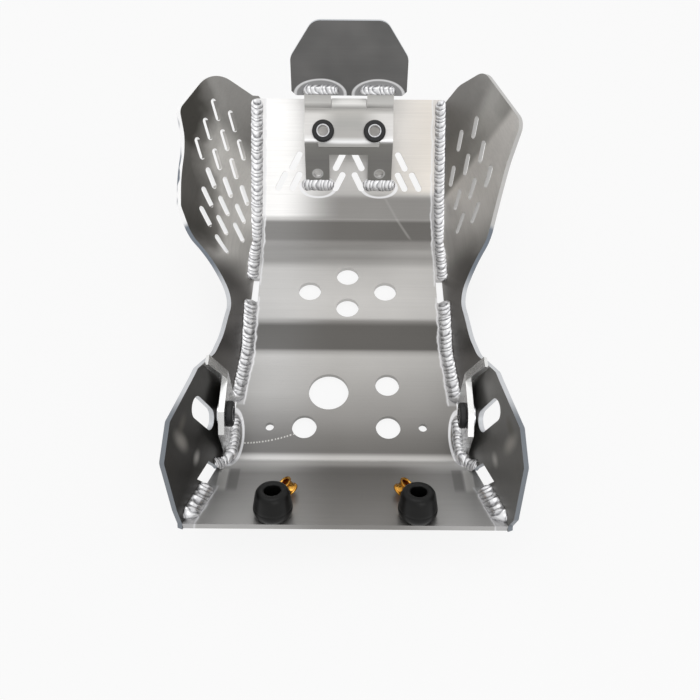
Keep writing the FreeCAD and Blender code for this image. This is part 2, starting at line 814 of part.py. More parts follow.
def cut_object(label, base, tool):
    """Adds a boolean cut of two objects."""
    item = doc.addObject("Part::Cut", label)
    item.Label = label
    item.Base = base
    item.Tool = tool
    return item


def floor_plate():
    """Floor blank trimmed to the inner faces of both side plates."""
    left = feature("left_trim", folded_wall(-1, 0, get("trim_width")))
    right = feature("right_trim", folded_wall(1, 0, get("trim_width")))
    trimmed = cut_object("floor_left_trimmed", floor_blank(), left)
    return cut_object("floor_plate", trimmed, right)


def floor_edge(side, forward):
    """Point of the floor's edge line at a distance in front of the belly bend, or behind it if negative."""
    y = get("belly_bend_y") + forward
    number = max(0, min(6, sum(get(f"bend{bend}_y") <= y for bend in range(8)) - 1))
    start = floor_corner(side, number)
    end = floor_corner(side, number + 1)
    return start + (end - start) * ((y - start.y) / (end.y - start.y))


def rod_along(points, radius):
    """Round rod with ball ends and corners along a route."""
    shapes = [Part.makeSphere(radius, point) for point in points]
    for start, end in zip(points, points[1:]):
        run = end - start
        shapes.append(Part.makeCylinder(radius, run.Length, start, run))
    return shapes[0].fuse(shapes[1:])


def weld(label, points, radius, cutters):
    """Weld bead along a corner: what is left of a rod after the pieces that it joins are taken away."""
    solid = rod_along(points, radius)
    for cutter in cutters:
        solid = solid.cut(cutter)
    return feature(label, max(solid.Solids, key=lambda part: part.Volume))


def edge_weld(label, side, near, far, cutters):
    """Weld bead along the floor's edge between two distances from the belly bend."""
    corners = [floor_corner(side, number) for number in range(8)]
    belly = get("belly_bend_y")
    between = [corner for corner in corners if near < corner.y - belly < far]
    sink = Vector(side * get("bead_sink"), 0, -get("bead_sink"))
    points = [floor_edge(side, near)] + between + [floor_edge(side, far)]
    return weld(label, [point + sink for point in points], get("bead_radius"), cutters)


def mount_bracket(side):
    """Side bracket: an upright sheet with a seat for a grommet and an arm bent out to the side plate."""
    name = "left" if side < 0 else "right"
    body = new_body(f"{name}_bracket_blank")
    profile = new_sketch(body, "XZ_Plane", f"{name}_bracket_profile")
    inner = f"{side} * (belly_half_width - bracket_offset)"
    outer = f"{inner} + {side} * bracket_thickness"
    bend_z = "sheet_thickness + bracket_arm_bend"
    bend_out = f"{bend_z} - bracket_thickness * tan(bracket_arm_slope / 2)"
    rise = "bracket_arm_reach * cos(bracket_arm_slope)"
    run = f"{side} * bracket_arm_reach * sin(bracket_arm_slope)"
    thick_run = f"{side} * bracket_thickness * cos(bracket_arm_slope)"
    thick_rise = "bracket_thickness * sin(bracket_arm_slope)"
    add_polygon(profile, [
        (inner, "sheet_thickness"),
        (inner, bend_z),
        (f"{inner} + {run}", f"{bend_z} + {rise}"),
        (f"{inner} + {run} + {thick_run}", f"{bend_z} + {rise} - {thick_rise}"),
        (outer, bend_out),
        (outer, "sheet_thickness"),
    ])
    pad(body, profile, "blank_width * 2", f"{name}_bracket_pad", both_ways=True)

    waste = new_sketch(body, "YZ_Plane", f"{name}_bracket_waste")
    y = "belly_bend_y"
    z = "sheet_thickness"
    arm_top = f"{z} + bracket_arm_bend + bracket_arm_reach + bracket_thickness"
    add_polygon(waste, [
        (f"{y} + bracket_rear", f"{z} - bracket_thickness"),
        (f"{y} + bracket_rear", f"{z} + bracket_rear_height"),
        (f"{y} + bracket_rear + bracket_chamfer", f"{z} + bracket_height"),
        (f"{y} + bracket_arm_near", f"{z} + bracket_height"),
        (f"{y} + bracket_arm_near", f"{z} + bracket_arm_bend"),
        (f"{y} + bracket_arm_near - bracket_arm_lean", arm_top),
        (f"{y} + bracket_arm_near - bracket_arm_lean + bracket_arm_width", arm_top),
        (f"{y} + bracket_front", f"{z} + bracket_arm_bend"),
        (f"{y} + bracket_front", f"{z} - bracket_thickness"),
    ])
    low = f"{z} - bracket_thickness * 2"
    high = f"{arm_top} + bracket_thickness"
    far = "blank_width * 2"
    add_polygon(waste, [(f"-1 * {far}", low), (far, low), (far, high), (f"-1 * {far}", high)])
    pocket(body, waste, "blank_width * 2", f"{name}_bracket_outline")
    hole = new_sketch(body, "YZ_Plane", f"{name}_bracket_hole")
    add_circle(hole, f"{y} + grommet_y", f"{z} + grommet_z", "grommet_seat")
    pocket(body, hole, "blank_width * 2", f"{name}_bracket_seat")
    return cut_object(f"{name}_mount_bracket", body, doc.getObject(f"{name}_trim"))


def turned(label, profile, seat):
    """Body of revolution about its own Z axis; the profile's corners are radius and height formulas."""
    body = new_body(label)
    sketch = new_sketch(body, "XZ_Plane", f"{label}_profile")
    add_polygon(sketch, profile)
    turn = body.newObject("PartDesign::Revolution", f"{label}_turn")
    turn.Profile = sketch
    turn.ReferenceAxis = (sketch, ["V_Axis"])
    turn.Angle = 360
    body.Placement = seat
    return body


def grommet(label, seat, seat_depth):
    """Rubber grommet: a flange on the near face and a neck through the sheet."""
    bore = "grommet_bore / 2"
    return turned(label, [
        (bore, "-1 * grommet_face"),
        ("grommet_outer / 2", "-1 * grommet_face"),
        ("grommet_outer / 2", "0"),
        ("grommet_seat / 2 - fit_gap", "0"),
        ("grommet_seat / 2 - fit_gap", seat_depth),
        (bore, seat_depth),
    ], seat)


def sleeve(label, seat, seat_depth):
    """Bright flanged sleeve that keeps the grommet from being crushed; its flange is on the far face."""
    outer = "grommet_bore / 2 - fit_gap"
    return turned(label, [
        ("sleeve_bore / 2", "-1 * grommet_face"),
        (outer, "-1 * grommet_face"),
        (outer, seat_depth),
        ("sleeve_flange / 2", seat_depth),
        ("sleeve_flange / 2", f"{seat_depth} + sleeve_flange_thickness"),
        ("sleeve_bore / 2", f"{seat_depth} + sleeve_flange_thickness"),
    ], seat)


def header_bracket():
    """Header bracket: a bent sheet whose two legs stand on the front panel and whose tabs carry the shield."""
    body = new_body("header_bracket")
    profile = new_sketch(body, "YZ_Plane", "header_profile")
    leg = "header_leg_slope"
    tab = "header_tab_slope"
    top = "header_face_height"
    t = "header_thickness"
    foot = f"header_leg_bend - {top} / tan({leg})"
    leg_under_y = f"header_leg_bend + {t} * sin({leg} / 2) / cos({leg} / 2)"
    leg_under_z = f"{top} - {t}"
    foot_under = f"{leg_under_y} - ({leg_under_z}) / tan({leg})"
    tab_y = f"header_tab_bend + header_tab_length * cos({tab})"
    tab_z = f"{top} + header_tab_length * sin({tab})"
    add_polygon(profile, [
        (foot, "0"),
        ("header_leg_bend", top),
        ("header_tab_bend", top),
        (tab_y, tab_z),
        (f"{tab_y} + {t} * sin({tab})", f"{tab_z} - {t} * cos({tab})"),
        (f"header_tab_bend + {t} * tan({tab} / 2)", f"{top} - {t}"),
        (leg_under_y, leg_under_z),
        (foot_under, "0"),
    ])
    pad(body, profile, "header_half_width * 2", "header_pad", both_ways=True)
    places = [(sheet_value(across), sheet_value(up)) for across, up in (
        ("header_tab_bend", top), (leg_under_y, leg_under_z),
        ("header_leg_bend", top), (f"header_tab_bend + {t} * tan({tab} / 2)", f"{top} - {t}"),
    )]
    round_bends(body, places[:2], "header_bend_radius", "header_inner_bends")
    round_bends(body, places[2:], f"header_bend_radius + {t}", "header_outer_bends")

    # Cut square to the legs: window under the lip, notch between the legs, tapped holes, trimmed foot corners.
    legs = new_sketch(body, "XY_Plane", "header_legs")
    legs.AttachmentOffset = Placement(Vector(), Rotation(Vector(1, 0, 0), get("header_leg_slope")))
    bind(legs, AttachmentOffset__Base__y="header_leg_bend", AttachmentOffset__Base__z=top)
    bind(legs, AttachmentOffset__Rotation__Angle=leg)
    window = "header_lip_half + header_lip_slit"
    low = "-1 * header_lip_length"
    add_polygon(legs, [(f"-1 * ({window})", low), (window, low), (window, t), (f"-1 * ({window})", t)])
    floor_drop = f"-1 * {top} / sin({leg})"
    notch = "header_notch_half"
    deep = f"{floor_drop} - {t}"
    drop = "-1 * header_notch_drop"
    add_polygon(legs, [(f"-1 * {notch}", deep), (notch, deep), (notch, drop), (f"-1 * {notch}", drop)])
    for side in ("-1", "1"):
        edge = f"{side} * (header_half_width + {t})"
        inset = f"{side} * (header_half_width - header_leg_chamfer)"
        up = f"{floor_drop} + header_leg_chamfer + {t}"
        add_polygon(legs, [(inset, deep), (edge, deep), (edge, up), (inset, floor_drop)])
        add_circle(legs, f"{side} * tapped_hole_x", "-1 * tapped_hole_drop", "tapped_hole_diameter")
    pocket(body, legs, "header_thickness * 4", "header_leg_cut")

    # The middle stays flat between the tabs and runs out below as a lip.
    middle = new_sketch(body, "XY_Plane", "header_tab_gap")
    centre = "header_centre_half"
    far = f"{tab_y} + {t} * 2"
    add_polygon(middle, [
        (f"-1 * {centre}", "header_tab_bend"), (centre, "header_tab_bend"), (centre, far), (f"-1 * {centre}", far),
    ])
    pocket(body, middle, f"{top} * 4", "header_tab_cut")
    flat = new_sketch(body, "YZ_Plane", "header_middle_profile")
    add_polygon(flat, [
        ("header_leg_bend", f"{top} - {t}"), ("header_centre_end", f"{top} - {t}"),
        ("header_centre_end", top), ("header_leg_bend", top),
    ])
    pad(body, flat, f"({centre} - header_lip_slit) * 2", "header_middle", both_ways=True)
    lip = new_sketch(body, "YZ_Plane", "header_lip_profile")
    lip_end = "header_leg_bend - header_lip_length"
    inside = f"header_leg_bend + {t} * 2"
    add_polygon(lip, [(lip_end, f"{top} - {t}"), (inside, f"{top} - {t}"), (inside, top), (lip_end, top)])
    pad(body, lip, "header_lip_half * 2", "header_lip", both_ways=True)
    seats = new_sketch(body, "XY_Plane", "header_seats")
    for side in ("-1", "1"):
        add_circle(seats, f"{side} * header_hole_x", "header_hole_up", "grommet_seat")
    pocket(body, seats, f"{top} * 4", "header_seat_cut")
    place_on_front(body)
    return body


def place_on_front(body):
    """Stands a body on the front panel, its Y axis up the panel."""
    body.Placement = Placement(Vector(), Rotation(Vector(1, 0, 0), get("front_slope")))
    bind(body, Placement__Base__y="bend6_y", Placement__Base__z="bend6_z")
    bind(body, Placement__Rotation__Angle="front_slope")


def on_front(across, up, height):
    """Point given by its place on the front panel and its height above it."""
    slope = angle("front_slope")
    base = Vector(across, get("bend6_y"), get("bend6_z"))
    along = Vector(0, math.cos(slope), math.sin(slope))
    square = Vector(0, -math.sin(slope), math.cos(slope))
    return base + along * up + square * height


def header_shield():
    """Flat shield plate lapped behind the tabs of the header bracket."""
    body = new_body("header_shield")
    face = new_sketch(body, "XY_Plane", "shield_outline")
    half = "shield_half_width"
    taper = "shield_half_width - shield_bottom_taper"
    add_polygon(face, [
        (f"-1 * ({taper})", "shield_bottom"), (taper, "shield_bottom"),
        (half, "shield_bottom + shield_bottom_taper"), (half, "shield_corner"),
        ("shield_top_half", "shield_top"), ("-1 * shield_top_half", "shield_top"),
        (f"-1 * {half}", "shield_corner"), (f"-1 * {half}", "shield_bottom + shield_bottom_taper"),
    ])
    feature_pad = pad(body, face, "shield_thickness", "shield_pad")
    doc.recompute()
    corners = []
    for number, edge in enumerate(feature_pad.Shape.Edges, start=1):
        middle = edge.BoundBox.Center
        if edge.BoundBox.ZLength > 0.1 and middle.y > get("shield_corner") - 1:
            corners.append(f"Edge{number}")
    rounding = body.newObject("PartDesign::Fillet", "shield_corners")
    rounding.Base = (feature_pad, corners)
    bind(rounding, Radius="shield_corner_radius")
    slope = math.radians(get("front_slope") + get("header_tab_slope"))
    square = Vector(0, -math.sin(slope), math.cos(slope))
    corner = on_front(0, get("header_tab_bend"), get("header_face_height"))
    base = corner - square * (get("header_thickness") + get("shield_thickness"))
    body.Placement = Placement(base, Rotation(Vector(1, 0, 0), math.degrees(slope)))
    return body


def rubber_buffer(side):
    """Rubber bump stop that stands on the rear flange."""
    name = "left" if side < 0 else "right"
    bore = "buffer_bore / 2"
    body = turned(f"rubber_buffer_{name}", [
        (bore, "0"),
        ("buffer_base / 2", "0"),
        ("buffer_belly / 2", "buffer_belly_up"),
        ("buffer_top / 2", "buffer_height - buffer_shoulder"),
        ("buffer_top / 2 - buffer_shoulder", "buffer_height"),
        (bore, "buffer_height"),
    ], flange_place(side, "buffer_x", "buffer_back", 0, 0))
    round_rims(body, [("buffer_belly", "buffer_belly_up")], "buffer_belly_rounding", f"buffer_belly_{name}")
    round_rims(body, [("buffer_top", "buffer_height - buffer_shoulder")], "buffer_top_rounding", f"buffer_top_{name}")
    return body


def flange_place(side, across, back, lift, tilt):
    """Placement on the rear flange: Z square to it, leaning outwards by the tilt."""
    slope = angle("flange_slope")
    up_flange = Vector(0, -math.cos(slope), math.sin(slope))
    square = Vector(0, math.sin(slope), math.cos(slope))
    base = Vector(side * get(across), get("bend1_y"), get("bend1_z")) + up_flange * get(back) + square * lift
    axis = square * math.cos(math.radians(tilt)) + Vector(side, 0, 0) * math.sin(math.radians(tilt))
    return Placement(base, Rotation(Vector(0, 0, 1), axis))


def flanged_collar(side):
    """Flanged collar for a bump stop, standing tilted on the edge of its flange."""
    name = "left" if side < 0 else "right"
    tilt = get("collar_tilt")
    lift = get("collar_flange") / 2 * math.sin(math.radians(tilt))
    bore = "collar_tube / 2 - collar_wall"
    return turned(f"flanged_collar_{name}", [
        (bore, "0"),
        ("collar_flange / 2", "0"),
        ("collar_flange / 2", "collar_flange_thickness"),
        ("collar_tube / 2", "collar_flange_thickness"),
        ("collar_tube / 2", "collar_length"),
        (bore, "collar_length"),
    ], flange_place(side, "collar_x", "collar_back", lift, tilt))


def bracket_bead(side, name, cutters):
    """Bead round the inner foot of a mount bracket, run out over the corner of the belly bend."""
    inner_x = side * (get("belly_half_width") - get("bracket_offset"))
    bend_y = get("belly_bend_y")
    top = get("sheet_thickness")
    route = [
        Vector(inner_x, bend_y + get("bracket_bead_front"), top),
        Vector(inner_x, bend_y + get("bracket_rear"), top),
        floor_edge(side, -get("bracket_bead_turn")),
        floor_edge(side, -get("bracket_bead_end")),
    ]
    return weld(f"{name}_bracket_weld", route, get("small_bead_radius"), cutters)


def leg_bead(side, name, cutters):
    """Bead along the foot of one leg of the header bracket."""
    foot = get("header_leg_bend") - get("header_face_height") / math.tan(angle("header_leg_slope"))
    middle = side * get("tapped_hole_x")
    route = [on_front(middle + across, foot, 0) for across in (-get("leg_bead_half"), get("leg_bead_half"))]
    return weld(f"{name}_leg_weld", route, get("small_bead_radius"), cutters)


def shield_bead(side, name, cutters):
    """Bead along the end of one tab of the header bracket, on the shield's face."""
    lean = angle("header_tab_slope")
    tab = get("header_tab_length")
    thick = get("header_thickness")
    up = get("header_tab_bend") + tab * math.cos(lean) + thick * math.sin(lean)
    height = get("header_face_height") + tab * math.sin(lean) - thick * math.cos(lean)
    middle = side * get("shield_bead_x")
    half = get("shield_bead_half") - get("small_bead_radius")
    route = [on_front(middle - half, up, height), on_front(middle + half, up, height)]
    return weld(f"{name}_shield_weld", route, get("small_bead_radius"), cutters)


def side_seat(side):
    """Placement of a side grommet: on the bracket's inner face, its axis pointing outwards."""
    across = side * (get("belly_half_width") - get("bracket_offset"))
    base = Vector(across, get("belly_bend_y") + get("grommet_y"), get("sheet_thickness") + get("grommet_z"))
    return Placement(base, Rotation(Vector(0, 0, 1), Vector(side, 0, 0)))


def header_seat(side):
    """Placement of a header grommet: on the bracket's face, its axis pointing down through the sheet."""
    slope = angle("front_slope")
    down = Vector(0, math.sin(slope), -math.cos(slope))
    base = on_front(side * get("header_hole_x"), get("header_hole_up"), get("header_face_height"))
    return Placement(base, Rotation(Vector(0, 0, 1), down))


floor = floor_plate()
doc.recompute()
core = below_floor("core")
header = header_bracket()
shield = header_shield()
nodes = [floor, header, shield]
plates = {}
brackets = {}
for side, name in ((-1, "left"), (1, "right")):
    plates[side] = side_plate(side)
    brackets[side] = mount_bracket(side)
    nodes += [plates[side], brackets[side], rubber_buffer(side), flanged_collar(side)]
    nodes.append(grommet(f"side_grommet_{name}", side_seat(side), "bracket_thickness"))
    nodes.append(sleeve(f"side_sleeve_{name}", side_seat(side), "bracket_thickness"))
    nodes.append(grommet(f"header_grommet_{name}", header_seat(side), "header_thickness"))
    nodes.append(sleeve(f"header_sleeve_{name}", header_seat(side), "header_thickness"))
doc.recompute()

# Beads take their shape from the pieces that they join, so they come once those are worked out.
for side, name in ((-1, "left"), (1, "right")):
    bracket = brackets[side].Shape
    joined = [doc.getObject(f"{name}_trim").Shape, core, floor.Shape, plates[side].Shape]
    front_end = get("bend7_y") - get("belly_bend_y") - get("front_bead_margin")
    upper = edge_weld(f"{name}_upper_weld", side, get("upper_bead_start"), front_end, joined)
    lower = edge_weld(f"{name}_lower_weld", side, get("lower_bead_start"), get("lower_bead_end"), joined + [bracket])
    rear = edge_weld(f"{name}_flange_weld", side, -get("flange_bead_end"), -get("flange_bead_start"), joined)
    nodes += [upper, lower, rear, bracket_bead(side, name, joined + [bracket])]
    nodes.append(leg_bead(side, name, [core, floor.Shape, header.Shape]))
    nodes.append(shield_bead(side, name, [header.Shape, shield.Shape]))

# Every object has to be sound before anything is written.
doc.recompute()
for item in doc.Objects:
    if "Invalid" in item.State or "Error" in item.State:
        raise RuntimeError(f"{item.Label} failed: {item.State}")
for node in nodes:
    if node.Shape.isNull() or not node.Shape.isValid() or len(node.Shape.Solids) != 1:
        raise RuntimeError(f"{node.Label} is not one sound solid")

os.makedirs("parts", exist_ok=True)
for node in nodes:
    node.Shape.exportStep(f"parts/{node.Label}.step")
    print(node.Label, round(node.Shape.Volume))
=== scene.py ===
import math

import bmesh
import bpy

from mathutils import Matrix, Vector


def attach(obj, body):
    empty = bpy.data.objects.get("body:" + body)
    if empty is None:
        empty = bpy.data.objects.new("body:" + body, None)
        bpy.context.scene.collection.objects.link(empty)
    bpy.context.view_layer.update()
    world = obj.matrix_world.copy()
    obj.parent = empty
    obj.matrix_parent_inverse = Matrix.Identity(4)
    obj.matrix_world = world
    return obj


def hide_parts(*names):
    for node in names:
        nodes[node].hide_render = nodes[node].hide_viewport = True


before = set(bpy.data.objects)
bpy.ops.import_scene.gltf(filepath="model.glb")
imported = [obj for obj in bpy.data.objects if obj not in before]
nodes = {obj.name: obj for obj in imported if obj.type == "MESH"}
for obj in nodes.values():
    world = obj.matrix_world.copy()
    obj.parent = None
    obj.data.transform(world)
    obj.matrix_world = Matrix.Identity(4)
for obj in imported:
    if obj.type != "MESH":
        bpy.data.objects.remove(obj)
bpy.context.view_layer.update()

# Camera of the studio picture: it looks down into the plate from its rear end. Places are in metres and
# turns in degrees; the lens follows from the focal length as a share of the picture's width.
FOCAL_SHARE = 782.9 / 700
SENSOR = 36.0
PICTURE_SHIFT = -0.05
CAMERA_PLACE = (0.0015, -0.3025, 0.57473)
CAMERA_TURNS = (34.415, -0.321, 0.342)
camera_data = bpy.data.cameras.new("camera")
camera_data.sensor_width = SENSOR
camera_data.lens = SENSOR * FOCAL_SHARE
camera_data.shift_y = PICTURE_SHIFT
camera = bpy.data.objects.new("camera", camera_data)
camera.location = CAMERA_PLACE
camera.rotation_euler = [math.radians(turn) for turn in CAMERA_TURNS]
bpy.context.scene.collection.objects.link(camera)
bpy.context.scene.camera = camera

# Studio: a white table that only keeps the plate's soft shadow, one wide lamp above and one behind the
# camera, and a pale room that the bright metal mirrors.
bpy.context.scene.view_settings.view_transform = "Standard"
TABLE_HALF = 3.0
TABLE_DROP = 0.0005
TABLE_GLOW = 0.86
ROOM_LIGHT = 0.62
ROOM_GLOW = 1.0
WHITE = (1, 1, 1, 1)


def paint(red, green, blue):
    """Colour written as it shows on a screen, 0 to 255, as the shader's own linear colour."""
    def linear(level):
        share = level / 255
        return share / 12.92 if share <= 0.04045 else ((share + 0.055) / 1.055) ** 2.4
    return (linear(red), linear(green), linear(blue), 1.0)


def new_material(name, roughness, metallic):
    """Starts a material and returns it with its node tree and its shader."""
    material = bpy.data.materials.new(name)
    material.use_nodes = True
    shader = material.node_tree.nodes["Principled BSDF"]
    shader.inputs["Roughness"].default_value = roughness
    shader.inputs["Metallic"].default_value = metallic
    return material, material.node_tree, shader


def feed(tree, socket, value):
    """Puts a number, a colour or another node's output on a socket."""
    if isinstance(value, bpy.types.NodeSocket):
        tree.links.new(value, socket)
    else:
        socket.default_value = value


def sums(tree, operation, *values):
    """Adds one Math node and returns its output."""
    item = tree.nodes.new("ShaderNodeMath")
    item.operation = operation
    for socket, value in zip(item.inputs, values):
        feed(tree, socket, value)
    return item.outputs[0]


def glowing(tree, kind, strength):
    """White light of a kind of node, given off at a strength."""
    item = tree.nodes.new(kind)
    item.inputs["Color"].default_value = WHITE
    item.inputs["Strength"].default_value = strength
    return item.outputs[0]


def white_to_the_eye(tree, plain, white, share, output):
    """Lights the object with the plain side and shows the white one to the eye and in every mirror."""
    seen = tree.nodes.new("ShaderNodeLightPath").outputs
    looked_at = sums(tree, "MAXIMUM", seen["Is Camera Ray"], seen["Is Glossy Ray"])
    looked_at = sums(tree, "MAXIMUM", looked_at, seen["Is Transmission Ray"])
    cover = tree.nodes.new("ShaderNodeMixShader")
    for socket, value in zip(cover.inputs, (sums(tree, "MULTIPLY", looked_at, share), plain, white)):
        feed(tree, socket, value)
    tree.links.new(cover.outputs[0], tree.nodes[output].inputs["Surface"])


def add_lamp(name, place, aim, size, power):
    """Square soft lamp that looks at a point."""
    lamp = bpy.data.lights.new(name, "AREA")
    lamp.size = size
    lamp.energy = power
    item = bpy.data.objects.new(name, lamp)
    item.location = place
    item.rotation_euler = (Vector(aim) - Vector(place)).to_track_quat("-Z", "Y").to_euler()
    bpy.context.scene.collection.objects.link(item)


table_bm = bmesh.new()
bmesh.ops.create_grid(table_bm, x_segments=1, y_segments=1, size=TABLE_HALF)
bmesh.ops.translate(table_bm, verts=table_bm.verts, vec=(0, 0, -TABLE_DROP))
table_mesh = bpy.data.meshes.new("table")
table_bm.to_mesh(table_mesh)
table_bm.free()
table = bpy.data.objects.new("table", table_mesh)
bpy.context.scene.collection.objects.link(table)

table_paint, tree, shader = new_material("table_paint", roughness=0.9, metallic=0.0)
shader.inputs["Base Color"].default_value = paint(238, 238, 238)
glow = glowing(tree, "ShaderNodeEmission", 1.0)
white_to_the_eye(tree, shader.outputs[0], glow, TABLE_GLOW, "Material Output")
table_mesh.materials.append(table_paint)

room = bpy.data.worlds.new("room")
room.use_nodes = True
tree = room.node_tree
plain = tree.nodes["Background"]
plain.inputs["Color"].default_value = WHITE
plain.inputs["Strength"].default_value = ROOM_LIGHT
glow = glowing(tree, "ShaderNodeBackground", 1.0)
white_to_the_eye(tree, plain.outputs[0], glow, ROOM_GLOW, "World Output")
bpy.context.scene.world = room

add_lamp("lamp_above", place=(-0.15, 0.45, 1.3), aim=(0, 0.08, 0), size=1.0, power=3.0)
add_lamp("lamp_rear", place=(0.4, -0.9, 0.9), aim=(0, 0.05, 0), size=0.7, power=2.0)

# Floor of the plate: one aluminium sheet of 4 mm, brushed across and folded on a brake into seven panels.
# Each panel mirrors another part of the room, so each has its own tone, with a bright line at every fold.
MM = 0.001
REAR_EDGE, BELLY, STEP, WAIST, TUNNEL, SWEEP, PANEL, FRONT_EDGE = range(8)
FOLDS = (
    (-113.57, 37.8), (-50, 4), (50, 4), (80.41, 6.39),
    (171.38, 4.01), (194.14, 11.62), (213.42, 23.21), (284.74, 78.93),
)
HALF_WIDTHS = (114.5, 97.5, 88, 88, 88, 88, 88, 88)
FLOOR_NEAR = -0.12
FLOOR_FAR = 0.29


def between(tree, value, low, high, smooth=True):
    """Runs from 0 to 1 as a value goes from low to high."""
    item = tree.nodes.new("ShaderNodeMapRange")
    item.interpolation_type = "SMOOTHSTEP" if smooth else "LINEAR"
    for socket, number in zip(item.inputs, (value, low, high, 0.0, 1.0)):
        feed(tree, socket, number)
    return item.outputs[0]


def times(tree, *values):
    """Product of two or more outputs and numbers."""
    product = values[0]
    for value in values[1:]:
        product = sums(tree, "MULTIPLY", product, value)
    return product


def within(tree, value, start, end):
    """1 inside a stretch and 0 outside it; each end is given as where it is 0 and where it is 1."""
    return times(tree, between(tree, value, *start), between(tree, value, *end))


def away_from(tree, value, middle):
    """How far a value lies from a middle, to either side."""
    return sums(tree, "ABSOLUTE", sums(tree, "SUBTRACT", value, middle))


def swayed(tree, value, noise_value, reach):
    """Moves a value up and down with a noise, by half the reach each way."""
    return sums(tree, "MULTIPLY_ADD", sums(tree, "SUBTRACT", noise_value, 0.5), reach, value)


def round_about(tree, first, second, middle, reach):
    """Distance from an oval's middle, 1 on the oval, by two places and its two half sizes."""
    x = sums(tree, "DIVIDE", sums(tree, "SUBTRACT", first, middle[0]), reach[0])
    y = sums(tree, "DIVIDE", sums(tree, "SUBTRACT", second, middle[1]), reach[1])
    return sums(tree, "SQRT", sums(tree, "ADD", times(tree, x, x), times(tree, y, y)))


def blended(tree, share, first, second, mode="MIX"):
    """Mixes two colours and returns the output."""
    item = tree.nodes.new("ShaderNodeMix")
    item.data_type = "RGBA"
    item.blend_type = mode
    feed(tree, item.inputs["Factor"], share)
    feed(tree, item.inputs["A"], first)
    feed(tree, item.inputs["B"], second)
    return item.outputs["Result"]


def ramp(tree, value, stops):
    """Colour ramp over a value between 0 and 1; stops are pairs of place and colour."""
    item = tree.nodes.new("ShaderNodeValToRGB")
    feed(tree, item.inputs[0], value)
    elements = item.color_ramp.elements
    while len(elements) < len(stops):
        elements.new(1.0)
    for element, (place, colour) in zip(elements, stops):
        element.position = place
        element.color = colour
    return item.outputs[0]


def warm_stops(levels, red, blue):
    """Ramp stops from pairs of place and grey level, with some red added and some blue taken off."""
    return [(place, paint(level + red, level, level - blue)) for place, level in levels]


def surface_place(tree):
    """Place of the surface point in the object's own metres."""
    return tree.nodes.new("ShaderNodeTexCoord").outputs["Object"]


def split(tree, vector):
    """The three parts of a place or direction: across, forward and up."""
    item = tree.nodes.new("ShaderNodeSeparateXYZ")
    tree.links.new(vector, item.inputs[0])
    return item.outputs[0], item.outputs[1], item.outputs[2]


def noise(tree, place, scale, stretch=(1.0, 1.0, 1.0), detail=2.0):
    """Noise over a place; stretch scales each axis before the noise."""
    mapping = tree.nodes.new("ShaderNodeMapping")
    mapping.inputs["Scale"].default_value = stretch
    tree.links.new(place, mapping.inputs["Vector"])
    item = tree.nodes.new("ShaderNodeTexNoise")
    item.inputs["Scale"].default_value = scale
    item.inputs["Detail"].default_value = detail
    tree.links.new(mapping.outputs[0], item.inputs["Vector"])
    return item.outputs["Fac"]


def brushed(tree, place, stretch):
    """Fine grain in long strokes, between about 0.4 and 0.6."""
    coarse = noise(tree, place, scale=1.0, stretch=stretch, detail=3.0)
    fine = noise(tree, place, scale=2.7, stretch=stretch, detail=1.0)
    return sums(tree, "ADD", times(tree, coarse, 0.6), times(tree, fine, 0.4))


def toned_by_grain(tree, colour, grain, strength):
    """Lightens and darkens a colour with the grain."""
    grey = tree.nodes.new("ShaderNodeCombineColor")
    swing = swayed(tree, 1.0, grain, strength)
    for socket in grey.inputs:
        tree.links.new(swing, socket)
    return blended(tree, 1.0, colour, grey.outputs[0], "MULTIPLY")


def finished(tree, shader, colour, grain, least, swing):
    """Gives the shader its colour and a roughness that goes up from its least value with the grain."""
    tree.links.new(colour, shader.inputs["Base Color"])
    tree.links.new(sums(tree, "MULTIPLY_ADD", grain, swing, least), shader.inputs["Roughness"])


def bumped(tree, shader, height, distance):
    """Gives the shader a bump from a height."""
    item = tree.nodes.new("ShaderNodeBump")
    item.inputs["Distance"].default_value = distance
    tree.links.new(height, item.inputs["Height"])
    tree.links.new(item.outputs[0], shader.inputs["Normal"])


def along_floor(tree, forward):
    """Share of the way from the floor's rear end to its front end."""
    return between(tree, forward, FLOOR_NEAR, FLOOR_FAR, smooth=False)


def floor_share(millimetres):
    """The same share for a place written in millimetres."""
    return (millimetres * MM - FLOOR_NEAR) / (FLOOR_FAR - FLOOR_NEAR)


def edge_half_width(tree, forward):
    """Half width of the floor at a place along it: narrow beside the belly, wider behind it."""
    item = tree.nodes.new("ShaderNodeFloatCurve")
    line = item.mapping.curves[0]
    line.points[0].location = (floor_share(FOLDS[REAR_EDGE][0]), HALF_WIDTHS[REAR_EDGE] * MM)
    line.points[1].location = (1.0, HALF_WIDTHS[FRONT_EDGE] * MM)
    for number in (BELLY, STEP):
        line.points.new(floor_share(FOLDS[number][0]), HALF_WIDTHS[number] * MM)
    for point in line.points:
        point.handle_type = "VECTOR"
    item.mapping.update()
    tree.links.new(along_floor(tree, forward), item.inputs["Value"])
    return item.outputs[0]


# Painted reflection tones along the floor, with a painted highlight at each fold.
CENTRE_TONES = (
    (-113, 136), (-64, 112), (-58, 118), (-54, 166), (-47, 170), (-43, 96), (-30, 106), (-12, 128),
    (10, 146), (34, 162), (46, 166), (50, 144), (53, 84), (76, 84), (80, 116), (84, 182), (105, 190),
    (140, 188), (146, 164), (152, 150), (160, 164), (166, 136), (171, 124), (174, 94), (191, 94),
    (194, 140), (197, 138), (211, 138), (215, 180), (245, 208), (265, 228), (285, 234),
)
LEFT_TONES = (
    (-113, 174), (-64, 146), (-54, 190), (-47, 190), (-43, 106), (-30, 112), (-12, 138), (10, 164),
    (34, 168), (46, 176), (50, 152), (53, 96), (76, 92), (84, 184), (105, 194), (140, 192), (148, 150),
    (160, 152), (171, 138), (174, 116), (191, 118), (194, 186), (197, 240), (211, 240), (215, 246),
    (250, 252), (285, 252),
)
LEFT_FADE = (-0.005, -0.068)
FLANGE_FADE = (-0.045, -0.055)
